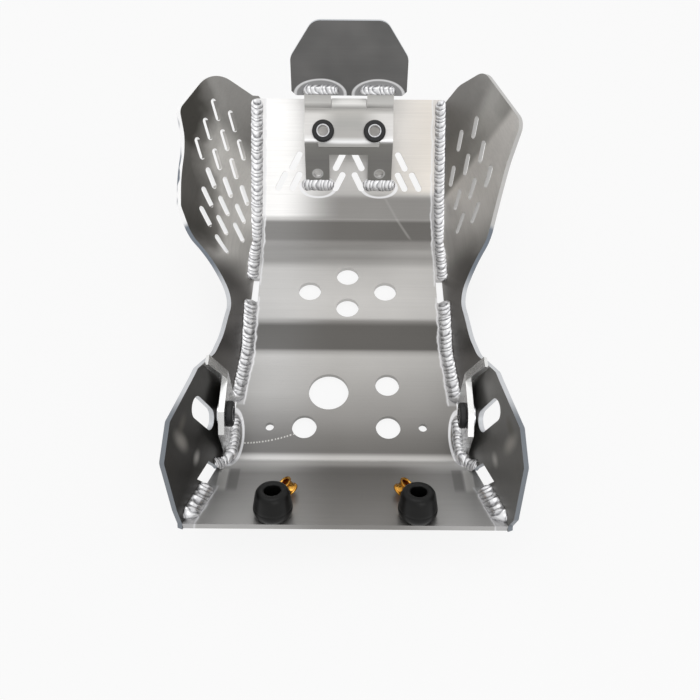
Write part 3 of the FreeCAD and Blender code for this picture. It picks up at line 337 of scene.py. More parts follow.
CORNER_FADE = (0.03, 0.08)
RIGHT_FADE = (0.02, 0.085)
PANEL_FADE = (0.212, 0.219)


def floor_tone(tree, across, forward):
    """Painted reflection tone of each panel: paler on the left and in the rear right corner, pale on the
    front's right.
    """
    way = along_floor(tree, forward)
    centre, left = (
        ramp(tree, way, warm_stops([(floor_share(place), level) for place, level in tones], red, blue))
        for tones, red, blue in ((CENTRE_TONES, 2, 2.8), (LEFT_TONES, 1, 1.4))
    )
    rear_corner = times(tree, between(tree, across, *CORNER_FADE), between(tree, forward, *FLANGE_FADE))
    leftness = sums(tree, "MAXIMUM", between(tree, across, *LEFT_FADE), rear_corner)
    rightness = times(tree, between(tree, across, *RIGHT_FADE), between(tree, forward, *PANEL_FADE))
    return blended(tree, rightness, blended(tree, leftness, centre, left), paint(222, 216, 208))


SCUFF_MIDDLE = -0.083
SCUFF_REAR = -0.0355
SCUFF_BEND = 4.9
SCUFF_WIDTH = (0.0009, 0.0004)
SCUFF_START = (-0.084, -0.08)
SCUFF_END = (-0.039, -0.041)
DASH_RATE = 2600.0
DASH_WANDER = 9.0
DASH_CUT = (-0.3, 0.5)
SCUFF_SHARE = 0.55


def scuffed(tree, colour, place, across, forward):
    """Curved row of small pale dashes, scuffed into the belly."""
    from_middle = sums(tree, "SUBTRACT", across, SCUFF_MIDDLE)
    curve = sums(tree, "MULTIPLY_ADD", sums(tree, "POWER", from_middle, 2.0), SCUFF_BEND, SCUFF_REAR)
    on_curve = between(tree, away_from(tree, forward, curve), *SCUFF_WIDTH)
    wander = times(tree, noise(tree, place, scale=120.0), DASH_WANDER)
    strokes = sums(tree, "ADD", times(tree, across, DASH_RATE), wander)
    dashes = between(tree, sums(tree, "SINE", strokes), *DASH_CUT)
    extent = within(tree, across, SCUFF_START, SCUFF_END)
    return blended(tree, times(tree, on_curve, dashes, extent, SCUFF_SHARE), colour, paint(226, 224, 220))


SCRATCH_SLANT = 1.55
SCRATCH_PLACE = 0.2655
SCRATCH_WIDTH = (0.0034, 0.0002)
SCRATCH_START = (0.172, 0.178)
SCRATCH_END = (0.214, 0.21)
SCRATCH_SHARE = 0.3


def scratched(tree, colour, across, forward):
    """Faint slanted line over the two sweep panels."""
    slanted = sums(tree, "MULTIPLY_ADD", across, SCRATCH_SLANT, forward)
    line = between(tree, away_from(tree, slanted, SCRATCH_PLACE), *SCRATCH_WIDTH)
    extent = within(tree, forward, SCRATCH_START, SCRATCH_END)
    return blended(tree, times(tree, line, extent, SCRATCH_SHARE), colour, paint(170, 168, 164))


MIRROR_START = (-0.058, -0.061)
MIRROR_END = (-0.084, -0.078)
MIRRORED = (
    (0.0935, (0.0042, 0.003), 0.6, paint(214, 213, 210)),
    (0.085, (0.0045, 0.003), 0.4, paint(84, 83, 82)),
)


def mirroring(tree, colour, across, forward):
    """What the rear flange mirrors of each mount bracket: its bright foot and its dark rubber."""
    to_side = sums(tree, "ABSOLUTE", across)
    extent = within(tree, forward, MIRROR_START, MIRROR_END)
    for middle, width, share, shown in MIRRORED:
        stripe = between(tree, away_from(tree, to_side, middle), *width)
        colour = blended(tree, times(tree, stripe, extent, share), colour, shown)
    return colour


FOOT_RINGS = (((0.0915, -0.03), (0.0105, 0.027)), ((0.029, 0.2195), (0.0185, 0.0085)))
RING_BAND = ((1.0, 0.94), (0.74, 0.84))
RING_SHARE = 0.75
RING_SWAY = 0.2
HALO_SWAY = 0.004
HALO_REACH = (0.0105, 0.0085)
RIM_REACH = (0.0078, 0.0092)
UPPER_WELDED = (0.118, 0.122)
LOWER_WELDED = ((-0.002, 0.0), (0.108, 0.105))
FLANGE_WELDED = (-0.076, -0.078)
HALO_SHARE = 0.4
RIM_SHARE = 0.6


def heated(tree, colour, place, cloud, across, forward):
    """Heat colours of the welding: a ring round each foot and a halo with a pale rim along each edge."""
    to_side = sums(tree, "ABSOLUTE", across)
    margin = sums(tree, "SUBTRACT", edge_half_width(tree, forward), to_side)
    margin = swayed(tree, margin, noise(tree, place, scale=90.0), HALO_SWAY)
    for middle, reach in FOOT_RINGS:
        away = swayed(tree, round_about(tree, to_side, forward, middle, reach), cloud, RING_SWAY)
        ring = within(tree, away, *RING_BAND)
        colour = blended(tree, times(tree, ring, RING_SHARE), colour, paint(236, 236, 238))
    welded = within(tree, forward, *LOWER_WELDED)
    for stretch in (UPPER_WELDED, FLANGE_WELDED):
        welded = sums(tree, "MAXIMUM", welded, between(tree, forward, *stretch))
    halo = between(tree, margin, *HALO_REACH)
    rim = times(tree, halo, between(tree, margin, *RIM_REACH))
    colour = blended(tree, times(tree, halo, welded, HALO_SHARE), colour, paint(196, 196, 198))
    return blended(tree, times(tree, rim, welded, RIM_SHARE), colour, paint(240, 240, 242))


def floor_metal():
    """Brushed aluminium of the floor, with its tones, marks and heat colours."""
    metal, tree, shader = new_material("floor_metal", roughness=0.42, metallic=0.8)
    place = surface_place(tree)
    across, forward = split(tree, place)[:2]
    grain = brushed(tree, place, stretch=(9.0, 700.0, 700.0))
    cloud = noise(tree, place, scale=14.0)
    colour = toned_by_grain(tree, floor_tone(tree, across, forward), grain, strength=0.22)
    colour = toned_by_grain(tree, colour, cloud, strength=0.2)
    colour = scuffed(tree, colour, place, across, forward)
    colour = scratched(tree, colour, across, forward)
    colour = mirroring(tree, colour, across, forward)
    colour = heated(tree, colour, place, cloud, across, forward)
    finished(tree, shader, colour, grain, least=0.32, swing=0.2)
    bumped(tree, shader, grain, distance=0.00008)
    return metal


def dress(name, material):
    """Gives a solid of the frame its material."""
    if not nodes[name].material_slots:
        nodes[name].data.materials.append(material)
    for slot in nodes[name].material_slots:
        slot.material = material


dress("floor_plate", floor_metal())

# Side plates: one folded sheet each, cut by laser and welded along the floor's edge. They mirror the dark
# side of the room, shown as painted reflection tones that are paler beside the weld, with bright cut edges.
WING_HEIGHT = 0.08
WING_DRIFT = 0.05
EAR_HEIGHT = 0.11
EAR_DRIFT = 0.02
WING_FRONT = (0.225, 0.25)
WING_FOOT = (0.05, 0.02)
WING_SHADE = 0.8
WING_BELOW = ((0.12, 0.17), (0.212, 0.204))
WAIST_FADE = (0.15, 0.10)
EAR_FADE = (0.02, -0.02)
EAR_GLEAMS = (
    ((-0.068, 0.076), (0.008, 0.018), paint(214, 210, 204)),
    ((-0.058, 0.082), (0.012, 0.007), paint(120, 116, 110)),
    ((-0.067, 0.046), (0.008, 0.007), paint(214, 212, 208)),
)
GLEAM_SHARE = 0.7
EDGE_FACING = (0.6, 0.55)
EDGE_SHADE = ((0.205, 0.19), (0.09, 0.11))
SLOTS_FROM = (0.135, 0.14)
SLOTS_UP_TO = (0.06, 0.058)
EAR_EDGE_FADE = (-0.035, -0.06)


def wing_tone(tree, forward, outward, tones, light_share):
    """Painted reflection tones outwards from the weld, with painted shade at the front foot and painted
    light below the last crease.
    """
    wing = ramp(tree, between(tree, outward, 0.0, WING_HEIGHT, smooth=False), warm_stops(tones, 2, 4))
    front_foot = times(tree, between(tree, forward, *WING_FRONT), between(tree, outward, *WING_FOOT))
    wing = blended(tree, times(tree, front_foot, WING_SHADE), wing, paint(118, 116, 113))
    light = times(tree, within(tree, forward, *WING_BELOW), light_share)
    return blended(tree, light, wing, paint(226, 223, 219))


def ear_tone(tree, forward, up, drift, tones):
    """Tones up from the floor, with soft gleams of the bracket and the lamps."""
    height = swayed(tree, up, drift, EAR_DRIFT)
    ear = ramp(tree, between(tree, height, 0.0, EAR_HEIGHT, smooth=False), warm_stops(tones, 1, 2))
    for middle, reach, gleam in EAR_GLEAMS:
        away = round_about(tree, forward, up, middle, reach)
        ear = blended(tree, times(tree, between(tree, away, 1.0, 0.0), GLEAM_SHARE), ear, gleam)
    return ear


def edge_tone(tree, forward, outward, slot_wall_light):
    """Cut edges: bright, darker where they look away from the light, with painted light on the slot walls.
    """
    slots = times(tree, between(tree, forward, *SLOTS_FROM), between(tree, outward, *SLOTS_UP_TO))
    shade = times(tree, within(tree, forward, *EDGE_SHADE), sums(tree, "SUBTRACT", 1.0, slots))
    edge = blended(tree, shade, paint(206, 208, 211), paint(122, 129, 138))
    edge = blended(tree, slots, edge, slot_wall_light)
    return blended(tree, between(tree, forward, *EAR_EDGE_FADE), edge, paint(126, 131, 137))


def facing(tree, axis):
    """How squarely the surface looks along an axis, to either side: 1 is straight on."""
    geometry = tree.nodes.new("ShaderNodeNewGeometry")
    return sums(tree, "ABSOLUTE", split(tree, geometry.outputs["True Normal"])[axis])


def side_metal(name, wing_tones, ear_tones, light_share, slot_wall_light):
    """Side plate's metal. The light share says how much light the wing catches below its last crease."""
    metal, tree, shader = new_material(name, roughness=0.38, metallic=0.8)
    place = surface_place(tree)
    across, forward, up = split(tree, place)
    drift = noise(tree, place, scale=18.0, detail=3.0)
    to_side = sums(tree, "ABSOLUTE", across)
    outward = sums(tree, "SUBTRACT", to_side, edge_half_width(tree, forward))
    outward = swayed(tree, outward, drift, WING_DRIFT)
    wing = wing_tone(tree, forward, outward, wing_tones, light_share)
    colour = blended(tree, between(tree, forward, *WAIST_FADE), wing, paint(98, 95, 92))
    ear = ear_tone(tree, forward, up, drift, ear_tones)
    colour = blended(tree, between(tree, forward, *EAR_FADE), colour, ear)
    grain = brushed(tree, place, stretch=(500.0, 9.0, 500.0))
    colour = toned_by_grain(tree, colour, grain, strength=0.3)
    cut_edge = between(tree, facing(tree, 0), *EDGE_FACING)
    colour = blended(tree, cut_edge, colour, edge_tone(tree, forward, outward, slot_wall_light))
    finished(tree, shader, colour, grain, least=0.28, swing=0.2)
    bumped(tree, shader, grain, distance=0.00006)
    return metal


# Each side's slot walls get a painted light colour: white on the left, pale grey on the right.
dress("left_side_plate", side_metal(
    "left_side_metal", light_share=0.1, slot_wall_light=paint(253, 253, 253),
    wing_tones=((0.0, 222), (0.3, 216), (0.42, 122), (0.56, 68), (1.0, 60)),
    ear_tones=((0.0, 104), (0.25, 88), (0.45, 52), (0.6, 70), (1.0, 84)),
))
dress("right_side_plate", side_metal(
    "right_side_metal", light_share=0.9, slot_wall_light=paint(196, 195, 193),
    wing_tones=((0.0, 146), (0.2, 142), (0.35, 172), (0.5, 176), (0.65, 150), (1.0, 138)),
    ear_tones=((0.0, 150), (0.3, 124), (0.6, 132), (1.0, 140)),
))

# Edge welds: beads of aluminium laid by hand along the corners, one puddle after another, each bead a row
# of crescents with painted shade in each hollow and a painted highlight on each crest. They stand for the
# plain beads of the frame.
PANEL_SLOPE = math.radians(38)
OFF_PANEL = Vector((0, -math.sin(PANEL_SLOPE), math.cos(PANEL_SLOPE)))
EAR_LEAN = (7.7, -20.3)
STEP_LEAN = (11.4, 15.5)
WAIST_LEAN = (16.4, 8.4)
TUNNEL_LEANS = {-1: (38, 23.7), 1: (28.3, 26.6)}
SWEEP_LEANS = {-1: (38, 14.6), 1: (27.8, 25.3)}
WING_LEANS = {-1: 42, 1: 28}
TUNNEL_STATION = 155
WING_STATION = FOLDS[PANEL][0] + 12
PUDDLE_PEAK = 0.8
PITCH_WAVES = ((0.22, 233, 0), (0.16, 611, 1))
WIDTH_WAVES = ((0.035, 410, 0), (0.03, 997, 2))
BEAD_WRAP = 1.1
BEAD_FALL = 0.85
END_LENGTH = 0.8
BEAD_EDGE = 0.999
BEAD_COLUMNS = 22
ROWS_PER_PUDDLE = 14
LEAST_ROWS = 24
SPECKLE_SWAY = 0.9
SIDES = ((-1, "left"), (1, "right"))


def corner(side, number):
    """Corner of the floor's top face at a fold, in metres."""
    return Vector((side * HALF_WIDTHS[number], *FOLDS[number])) * MM


def leaning(side, angles):
    """Direction up a side plate that leans outwards and back by two angles."""
    flare, rake = (math.radians(turn) for turn in angles)
    return Vector((side * math.tan(flare), -math.tan(rake), 1)).normalized()


def plate_lean(side, forward):
    """Direction up the side plate at a place along the floor, in metres."""
    flare = math.radians(WING_LEANS[side])
    wing = Vector((side * math.sin(flare), 0, 0)) + OFF_PANEL * math.cos(flare)
    stations = (
        (FOLDS[REAR_EDGE][0], leaning(side, EAR_LEAN)), (FOLDS[BELLY][0], leaning(side, EAR_LEAN)),
        (FOLDS[STEP][0], leaning(side, STEP_LEAN)), (FOLDS[WAIST][0], leaning(side, WAIST_LEAN)),
        (TUNNEL_STATION, leaning(side, TUNNEL_LEANS[side])),
        (FOLDS[SWEEP][0], leaning(side, SWEEP_LEANS[side])),
        (WING_STATION, wing), (FOLDS[FRONT_EDGE][0], wing),
    )
    along = max(forward / MM, stations[0][0])
    for (start, before), (end, after) in zip(stations, stations[1:]):
        if along < end:
            return before.lerp(after, (along - start) / (end - start)).normalized()
    return wing.normalized()


def on_edge(side, forward):
    """Point of the floor's edge at a place along the part, in metres."""
    number = REAR_EDGE
    while number < SWEEP + 1 and forward > FOLDS[number + 1][0] * MM:
        number += 1
    start, end = corner(side, number), corner(side, number + 1)
    return start.lerp(end, (forward - start.y) / (end.y - start.y))


def edge_route(side, near, far):
    """Points of the floor's edge between two places along the part, in metres."""
    passed = [corner(side, number) for number, fold in enumerate(FOLDS) if near < fold[0] * MM < far]
    return [on_edge(side, near), *passed, on_edge(side, far)]


def walked(route, distance):
    """Point at a distance along a route."""
    for start, end in zip(route, route[1:]):
        length = (end - start).length
        if distance <= length:
            return start.lerp(end, distance / length)
        distance -= length
    return route[-1]


def puddle(share):
    """Height of one crescent: a slow rounded rise and a steep drop."""
    if share < PUDDLE_PEAK:
        return math.sin(share / PUDDLE_PEAK * math.pi / 2)
    return (1 - share) / (1 - PUDDLE_PEAK)


def unsteady(distance, waves):
    """How far a welder's hand strays at a distance along a bead."""
    return sum(reach * math.sin(distance * rate + start) for reach, rate, start in waves)


def weld_bead(name, route, sides_at, legs, pitch, bow, height):
    """Row of crescents along a route; sides_at gives the two directions that the bead lies between."""
    length = sum((end - start).length for start, end in zip(route, route[1:]))
    bm = bmesh.new()
    bmesh.ops.create_grid(bm, x_segments=BEAD_COLUMNS, size=1,
                          y_segments=max(LEAST_ROWS, int(length / pitch * ROWS_PER_PUDDLE)))
    crest = bm.verts.layers.float.new("crest")
    for vert in bm.verts:
        width, distance = vert.co.x, (vert.co.y + 1) / 2 * length
        root = walked(route, distance)
        low, high = sides_at(root)
        turn = math.radians(45 * (1 + width * BEAD_WRAP))
        share = puddle(((distance + bow * width * width) / pitch + unsteady(distance, PITCH_WAVES)) % 1.0)
        vert[crest] = share
        ends = min(distance, length - distance) / (legs[0] * END_LENGTH)
        taper = math.sqrt(max(0.0, 1 - (1 - min(ends, 1.0)) ** 2))
        reach = Vector(low) * math.cos(turn) * legs[0] + Vector(high) * math.sin(turn) * legs[1]
        spread = reach * ((1 + unsteady(distance, WIDTH_WAVES)) * taper)
        crescent = reach.normalized() * (share * height * (1 - BEAD_FALL * width ** 2) * taper)
        vert.co = root if abs(width) > BEAD_EDGE else root + spread + crescent
    bmesh.ops.remove_doubles(bm, verts=bm.verts, dist=0.00001)
    bmesh.ops.recalc_face_normals(bm, faces=bm.faces)
    for bead_face in bm.faces:
        bead_face.smooth = True
    mesh = bpy.data.meshes.new(name)
    bm.to_mesh(mesh)
    bm.free()
    mesh.materials.append(weld_skin)
    piece = bpy.data.objects.new(name, mesh)
    bpy.context.scene.collection.objects.link(piece)
    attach(piece, "root")
    return piece


# Weld colour follows the crest of each crescent: painted shade in the hollows and a painted highlight on the
# crests.
weld_skin, tree, shader = new_material("weld_skin", roughness=0.3, metallic=0.85)
crest = tree.nodes.new("ShaderNodeAttribute")
crest.attribute_name = "crest"
speckle = noise(tree, surface_place(tree), scale=260.0)
colour = ramp(tree, swayed(tree, crest.outputs["Fac"], speckle, SPECKLE_SWAY), (
    (0.0, paint(128, 128, 131)), (0.25, paint(182, 182, 184)),
    (0.5, paint(212, 212, 214)), (1.0, paint(236, 236, 237)),
))
finished(tree, shader, colour, speckle, least=0.2, swing=0.2)

EDGE_BEADS = (
    ("upper", 0.126, 0.2845, 0.0063), ("lower", 0.001, 0.103, 0.0078), ("flange", -0.1105, -0.078, 0.0082),
)
EDGE_PUDDLES = {"pitch": 0.0043, "bow": -0.0042, "height": 0.00062}


def edge_sides(side):
    """The two directions of an edge bead: across the floor and up the side plate."""
    return lambda root: ((-side, 0, 0), plate_lean(side, root.y))


for side, word in SIDES:
    for part, near, far, leg in EDGE_BEADS:
        route = edge_route(side, near, far)
        bead = weld_bead(f"{word}_{part}_bead", route, edge_sides(side), (leg, leg), **EDGE_PUDDLES)
        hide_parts(f"{word}_{part}_weld")

# Bead round the foot of each mount bracket: it runs back along the bracket's inner face, turns out over the
# belly fold and ends on the side plate. It is a short bead of small puddles.
FOOT_X = 91.5
FOOT_LINE = ((0, -12, 4), (0, -36, 4), (0.5, -44, 4), (3, -49.5, 4.2))
FOOT_CORNER = (-1, -3, 1.5)
FOOT_END = (3.5, -7.5, 10.5)
FOOT_LEGS = (0.0066, 0.006)
FOOT_PUDDLES = {"pitch": 0.0034, "bow": -0.0026, "height": 0.0005}
TURN_FROM = -0.04
TURN_LENGTH = 0.009


def foot_sides(side):
    """Away from the bracket's foot and up its face, turning to face the rear past the fold."""
    ear = plate_lean(side, -0.05)

    def at(root):
        past = min(max((TURN_FROM - root.y) / TURN_LENGTH, 0), 1)
        away = Vector((-side, 0, 0)).lerp(Vector((-side * 0.5, -0.85, 0.25)), past).normalized()
        return away, Vector((0, 0, 1)).lerp(ear, past).normalized()
    return at


for side, word in SIDES:
    route = [Vector((side * (FOOT_X + out), along, height)) * MM for out, along, height in FOOT_LINE]
    for out, along, height in (FOOT_CORNER, FOOT_END):
        route.append(corner(side, BELLY) + Vector((side * out, along, height)) * MM)
    bead = weld_bead(f"{word}_bracket_bead", route, foot_sides(side), FOOT_LEGS, **FOOT_PUDDLES)
    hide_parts(f"{word}_bracket_weld")

# Beads of the header: one along the foot of each leg on the front panel, one along the end of each tab on
# the shield, all laid across the part.
UP_PANEL = Vector((0, math.cos(PANEL_SLOPE), math.sin(PANEL_SLOPE)))
HEADER_RISE = 31.8
HEADER_SHEET = 3
FACE_START = 46.5
FACE_END = 75.5
LEG_SLOPE = math.radians(41.5)
LEG_PLACE = 29
LEG_HALF = 15.5
LEG_FOOT = FACE_START - HEADER_RISE / math.tan(LEG_SLOPE)
TAB_SLOPE = math.radians(36)
TAB_LENGTH = 14
TAB_PLACE = 25.7
TAB_HALF = 16.5
TAB_END = FACE_END + TAB_LENGTH * math.cos(TAB_SLOPE) + HEADER_SHEET * math.sin(TAB_SLOPE)
TAB_RISE = HEADER_RISE + TAB_LENGTH * math.sin(TAB_SLOPE) - HEADER_SHEET * math.cos(TAB_SLOPE)
UP_LEG = UP_PANEL * math.cos(LEG_SLOPE) + OFF_PANEL * math.sin(LEG_SLOPE)
OFF_TAB = -UP_PANEL * math.sin(TAB_SLOPE) + OFF_PANEL * math.cos(TAB_SLOPE)
UP_SHIELD = UP_PANEL * math.cos(TAB_SLOPE) + OFF_PANEL * math.sin(TAB_SLOPE)
HEADER_BEADS = (
    ("leg", (LEG_PLACE, LEG_HALF, LEG_FOOT, 0), (-UP_PANEL, UP_LEG), (0.006, 0.005),
     {"pitch": 0.0034, "bow": -0.002, "height": 0.0004}),
    ("shield", (TAB_PLACE, TAB_HALF, TAB_END, TAB_RISE), (UP_SHIELD, OFF_TAB), (0.0068, 0.005),
     {"pitch": 0.0042, "bow": -0.003, "height": 0.0006}),
)


def on_panel(across, along, height):
    """Point by its place on the front panel and its height above it, all in millimetres."""
    base = Vector((across, *FOLDS[PANEL])) * MM
    return base + UP_PANEL * (along * MM) + OFF_PANEL * (height * MM)


def level_sides(low, high):
    """Two directions that stay the same all along a bead."""
    return lambda root: (low, high)


for side, word in SIDES:
    for part, (middle, half, along, height), (low, high), legs, puddles in HEADER_BEADS:
        route = [on_panel(side * middle + end, along, height) for end in (-half, half)]
        bead = weld_bead(f"{word}_{part}_bead", route, level_sides(low, high), legs, **puddles)
        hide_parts(f"{word}_{part}_weld")

# Mount brackets: cut sheet folded once, bright on the cut edges, polished on the inner face. Each carries a
# rubber grommet in a seat and leans an arm on the side plate.
bracket_metal, tree, shader = new_material("bracket_metal", roughness=0.3, metallic=0.85)
place = surface_place(tree)
grain = brushed(tree, place, stretch=(12.0, 90.0, 12.0))
# The upper half is painted lighter, as painted light from above.
lit_upper_half = between(tree, split(tree, place)[2], 0.03, 0.075)
colour = blended(tree, lit_upper_half, paint(214, 214, 213), paint(232, 232, 231))
colour = toned_by_grain(tree, colour, grain, strength=0.3)
finished(tree, shader, colour, grain, least=0.15, swing=0.25)
dress("left_mount_bracket", bracket_metal)
dress("right_mount_bracket", bracket_metal)

# Grommets: black moulded rubber with a rounded face and neck, pushed into the brackets and into the header.
# Each is one full turn of its outline about the axis of its seat.
RING_RADIUS = 10
RING_BORE = 6
RING_NECK = 7.6
RING_DEPTH = 5
FACE_ROUND = 1.8
MOUTH_ROUND = 1
SIDE_SHEET = 4.5
SIDE_SEAT = (91.5, -25.5, 35)
HEADER_SEAT = (23.4, 55, HEADER_RISE)
SHARP_ANGLE = math.radians(50)

rubber, tree, shader = new_material("grommet_rubber", roughness=0.55, metallic=0.0)
speckle = noise(tree, surface_place(tree), scale=900.0)
colour = ramp(tree, speckle, ((0.3, paint(12, 12, 13)), (0.7, paint(26, 26, 28))))
tree.links.new(colour, shader.inputs["Base Color"])
bumped(tree, shader, speckle, distance=0.00005)


def turned_piece(name, outline, seat, material, segments=72):
    """Full turn of an outline of radius and height, in millimetres, about the seat's Z axis."""
    bm = bmesh.new()
    bmesh.ops.create_circle(bm, segments=len(outline), radius=1)
    for vert, (radius, height) in zip(bm.verts, outline):
        vert.co = Vector((radius * MM, 0, height * MM))
    bmesh.ops.spin(bm, geom=bm.verts[:] + bm.edges[:], cent=(0, 0, 0), axis=(0, 0, 1),
                   angle=math.tau, steps=segments, use_merge=True, use_duplicate=False)
    bmesh.ops.remove_doubles(bm, verts=bm.verts, dist=0.000001)
    bmesh.ops.recalc_face_normals(bm, faces=bm.faces)
    bmesh.ops.transform(bm, matrix=seat, verts=bm.verts)
    for turned_face in bm.faces:
        turned_face.smooth = True
    mesh = bpy.data.meshes.new(name)
    bm.to_mesh(mesh)
    bm.free()
    mesh.set_sharp_from_angle(angle=SHARP_ANGLE)
    mesh.materials.append(material)
    piece = bpy.data.objects.new(name, mesh)
    bpy.context.scene.collection.objects.link(piece)
    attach(piece, "root")
    return piece


def seat_at(base, axis):
    """Frame whose Z axis runs along an axis from a base point."""
    return Matrix.Translation(base) @ Vector(axis).to_track_quat("Z", "Y").to_matrix().to_4x4()


def arc_points(middle, radius, start, end, count):
    """Points of an arc in the outline's plane, angles in degrees."""
    turns = [math.radians(start + (end - start) * number / count) for number in range(count + 1)]
    return [(middle[0] + radius * math.cos(turn), middle[1] + radius * math.sin(turn)) for turn in turns]


def ring_outline(depth):
    """Rounded flange on the near face and a neck of the sheet's depth."""
    face = arc_points((RING_RADIUS - FACE_ROUND, FACE_ROUND - RING_DEPTH), FACE_ROUND, -90, 0, 8)
    back = arc_points((RING_RADIUS - MOUTH_ROUND, -MOUTH_ROUND), MOUTH_ROUND, 0, 90, 4)
    neck = [(RING_NECK, 0), (RING_NECK, depth), (RING_BORE, depth)]
    mouth = arc_points((RING_BORE + MOUTH_ROUND, MOUTH_ROUND - RING_DEPTH), MOUTH_ROUND, -180, -90, 4)
    return face + back + neck + mouth


for side, word in SIDES:
    across, along, height = SIDE_SEAT
    side_seat = seat_at(Vector((side * across, along, height)) * MM, (side, 0, 0))
    ring = turned_piece(f"{word}_side_ring", ring_outline(SIDE_SHEET), side_seat, rubber)
    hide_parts(f"side_grommet_{word}")
    across, along, height = HEADER_SEAT
    header_seat = seat_at(on_panel(side * across, along, height), -OFF_PANEL)
    ring = turned_piece(f"{word}_header_ring", ring_outline(HEADER_SHEET), header_seat, rubber)
    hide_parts(f"header_grommet_{word}")

# Sleeves: bright plated tubes with a thin flange, pressed through the grommets so that a bolt can't crush
# the rubber. Their turning marks run round them.
steel, tree, shader = new_material("sleeve_steel", roughness=0.22, metallic=1.0)
grain = noise(tree, surface_place(tree), scale=700.0, stretch=(1.0, 1.0, 0.2))
colour = ramp(tree, grain, ((0.3, paint(196, 197, 200)), (0.7, paint(232, 232, 234))))
finished(tree, shader, colour, grain, least=0.12, swing=0.15)
for word in ("left", "right"):
    dress(f"side_sleeve_{word}", steel)
    dress(f"header_sleeve_{word}", steel)

# Header bracket: sheet folded into two legs, a flat face and two tabs. It stands on the front panel under
# two beads; its tones are painted light and shade: its legs lie in painted shade, its face is painted pale
# and its fold shoulders carry painted white highlights.
HEADER_REACH = 0.1
HEADER_SIDES = (0.008, 0.03)
LEG_HOLE = (0.029, 0.0417)
HOLE_RIM = (0.0056, 0.005)
# Painted light and shade along the bracket, in the middle and at the sides: painted shade on the legs and
# painted white highlights at the folds.
MIDDLE_TONES = (
    (0.10, paint(166, 165, 162)), (0.30, paint(152, 151, 149)), (0.43, paint(168, 167, 164)),
    (0.455, paint(240, 240, 240)), (0.50, paint(180, 178, 175)), (0.62, paint(172, 171, 168)),
    (0.73, paint(186, 184, 180)), (0.76, paint(150, 149, 146)), (0.80, paint(232, 231, 228)),
    (0.88, paint(196, 195, 192)),
)
OUTER_TONES = (
    (0.10, paint(166, 165, 162)), (0.30, paint(154, 153, 151)), (0.44, paint(170, 169, 166)),
    (0.46, paint(252, 252, 252)), (0.52, paint(222, 220, 218)), (0.70, paint(218, 216, 213)),
    (0.75, paint(160, 158, 155)), (0.80, paint(236, 235, 232)), (0.88, paint(204, 203, 200)),
)
header_metal, tree, shader = new_material("header_metal", roughness=0.32, metallic=0.8)
place = surface_place(tree)
across, forward, up = split(tree, place)
panel_y, panel_z = (millimetres * MM for millimetres in FOLDS[PANEL])
along = sums(tree, "ADD", times(tree, sums(tree, "SUBTRACT", forward, panel_y), math.cos(PANEL_SLOPE)),
             times(tree, sums(tree, "SUBTRACT", up, panel_z), math.sin(PANEL_SLOPE)))
reach = between(tree, along, 0.0, HEADER_REACH, smooth=False)
to_side = sums(tree, "ABSOLUTE", across)
outer = between(tree, to_side, *HEADER_SIDES)
colour = blended(tree, outer, ramp(tree, reach, MIDDLE_TONES), ramp(tree, reach, OUTER_TONES))
grain = brushed(tree, place, stretch=(12.0, 500.0, 500.0))
colour = toned_by_grain(tree, colour, grain, strength=0.25)
from_hole = round_about(tree, to_side, up, LEG_HOLE, (1.0, 1.0))
rim = times(tree, between(tree, from_hole, *HOLE_RIM), 0.85)
colour = blended(tree, rim, colour, paint(236, 236, 236))
finished(tree, shader, colour, grain, least=0.25, swing=0.2)
bumped(tree, shader, grain, distance=0.00005)
dress("header_bracket", header_metal)

# Shield: flat plate with clipped corners behind the tabs, dark because it mirrors the dark end of the room;
# pale heat marks ring its two beads.
MARK_PLACE = (0.0262, 0.1055)
MARK_REACH = (0.0245, 0.0145)
MARK_FADE = (1.0, 0.95)
MARK_RING = (0.84, 0.9)
MARK_SWAY = 0.15
FLAT_FACING = (0.6, 0.8)
shield_metal, tree, shader = new_material("shield_metal", roughness=0.4, metallic=0.8)
place = surface_place(tree)
across, forward, up = split(tree, place)
grain = brushed(tree, place, stretch=(14.0, 500.0, 500.0))
cloud = noise(tree, place, scale=22.0)
colour = ramp(tree, cloud, ((0.3, paint(100, 100, 99)), (0.7, paint(120, 119, 118))))
colour = toned_by_grain(tree, colour, grain, strength=0.22)
from_mark = round_about(tree, sums(tree, "ABSOLUTE", across), up, MARK_PLACE, MARK_REACH)
from_mark = swayed(tree, from_mark, cloud, MARK_SWAY)
inside = between(tree, from_mark, *MARK_FADE)
colour = blended(tree, times(tree, inside, 0.5), colour, paint(190, 190, 192))
ring = times(tree, inside, between(tree, from_mark, *MARK_RING), 0.9)
colour = blended(tree, ring, colour, paint(240, 240, 241))
flat_face = between(tree, facing(tree, 1), *FLAT_FACING)
colour = blended(tree, flat_face, paint(198, 202, 206), colour)
finished(tree, shader, colour, grain, least=0.3, swing=0.2)
bumped(tree, shader, grain, distance=0.00005)
dress("header_shield", shield_metal)

# Bump stops: two rounded stops of moulded black rubber, bonded square to the rear flange, each with an open
# bore. The outline goes up the outside, over the lip and down the bore.
FLANGE_SLOPE = math.radians(28)
UP_FLANGE = Vector((0, -math.cos(FLANGE_SLOPE), math.sin(FLANGE_SLOPE)))
OFF_FLANGE = Vector((0, math.sin(FLANGE_SLOPE), math.cos(FLANGE_SLOPE)))
STOP_SEAT = (51.5, 61)
STOP_SEGMENTS = 96
STOP_OUTLINE = (
    (10.25, 0.0), (11.4, 0.5), (12.8, 1.6), (13.7, 3.2), (14.1, 5.0), (14.2, 6.8), (14.05, 8.0), (13.9, 8.2),
    (13.9, 8.5), (13.95, 8.7), (13.6, 10.6), (13.2, 13.0), (12.8, 15.6), (12.4, 18.0), (11.9, 19.6),
    (11.1, 20.9), (9.9, 21.7), (8.6, 22.0), (6.9, 22.0), (6.1, 21.7), (5.75, 21.0), (5.75, 0.0),
)
stop_rubber, tree, shader = new_material("stop_rubber", roughness=0.62, metallic=0.0)
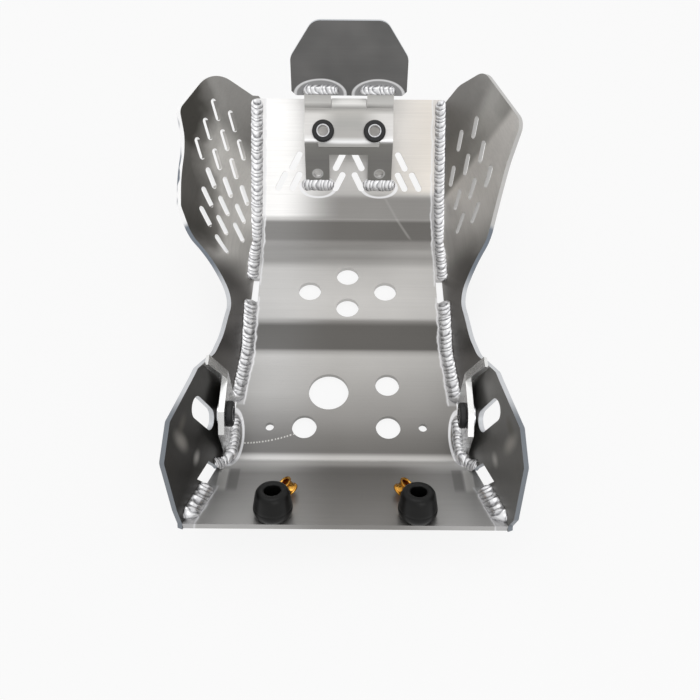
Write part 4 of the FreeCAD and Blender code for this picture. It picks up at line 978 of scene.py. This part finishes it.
shader.inputs["Specular IOR Level"].default_value = 0.24
place = surface_place(tree)
speckle = noise(tree, place, scale=650.0, detail=3.0)
colour = blended(tree, noise(tree, place, scale=60.0), paint(1, 1, 1), paint(10, 10, 9))
finished(tree, shader, colour, speckle, least=0.28, swing=0.15)
bumped(tree, shader, speckle, distance=0.00006)


def on_flange(across, along, height=0.0):
    """Point by its place on the rear flange, up from the belly fold, and its height, in millimetres."""
    base = Vector((across, *FOLDS[BELLY])) * MM
    return base + UP_FLANGE * (along * MM) + OFF_FLANGE * (height * MM)


for side, word in SIDES:
    across, along = STOP_SEAT
    seat = seat_at(on_flange(side * across, along), OFF_FLANGE)
    piece = turned_piece(f"{word}_bump_stop", STOP_OUTLINE, seat, stop_rubber, STOP_SEGMENTS)
    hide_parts(f"rubber_buffer_{word}")

# Collars: small yellow plated bushes with a flange and a rolled mouth, leaning outwards on the rear flange
# beside the bump stops, each on the rim of its own flange.
COLLAR_TILT = math.radians(33)
COLLAR_RADIUS = 6
COLLAR_SEAT = (40.3, 39, COLLAR_RADIUS * math.sin(COLLAR_TILT))
COLLAR_OUTLINE = (
    (3.7, 0.0), (5.8, 0.0), (COLLAR_RADIUS, 0.2), (COLLAR_RADIUS, 1.3), (5.8, 1.5), (4.9, 1.6), (4.5, 2.0),
    (4.5, 6.6), (4.9, 7.4), (5.5, 7.9), (5.65, 8.4), (5.5, 8.85), (5.1, 9.0), (4.3, 8.9), (3.8, 8.4),
    (3.7, 7.8), (3.7, 0.2),
)
collar_plating, tree, shader = new_material("collar_plating", roughness=0.24, metallic=1.0)
cloud = noise(tree, surface_place(tree), scale=240.0, detail=3.0)
colour = ramp(tree, cloud, (
    (0.3, paint(172, 116, 38)), (0.55, paint(214, 158, 70)), (0.75, paint(240, 196, 112)),
))
finished(tree, shader, colour, cloud, least=0.12, swing=0.2)
for side, word in SIDES:
    across, along, height = COLLAR_SEAT
    axis = OFF_FLANGE * math.cos(COLLAR_TILT) + Vector((side, 0, 0)) * math.sin(COLLAR_TILT)
    seat = seat_at(on_flange(side * across, along, height), axis)
    piece = turned_piece(f"{word}_collar", COLLAR_OUTLINE, seat, collar_plating)
    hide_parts(f"flanged_collar_{word}")
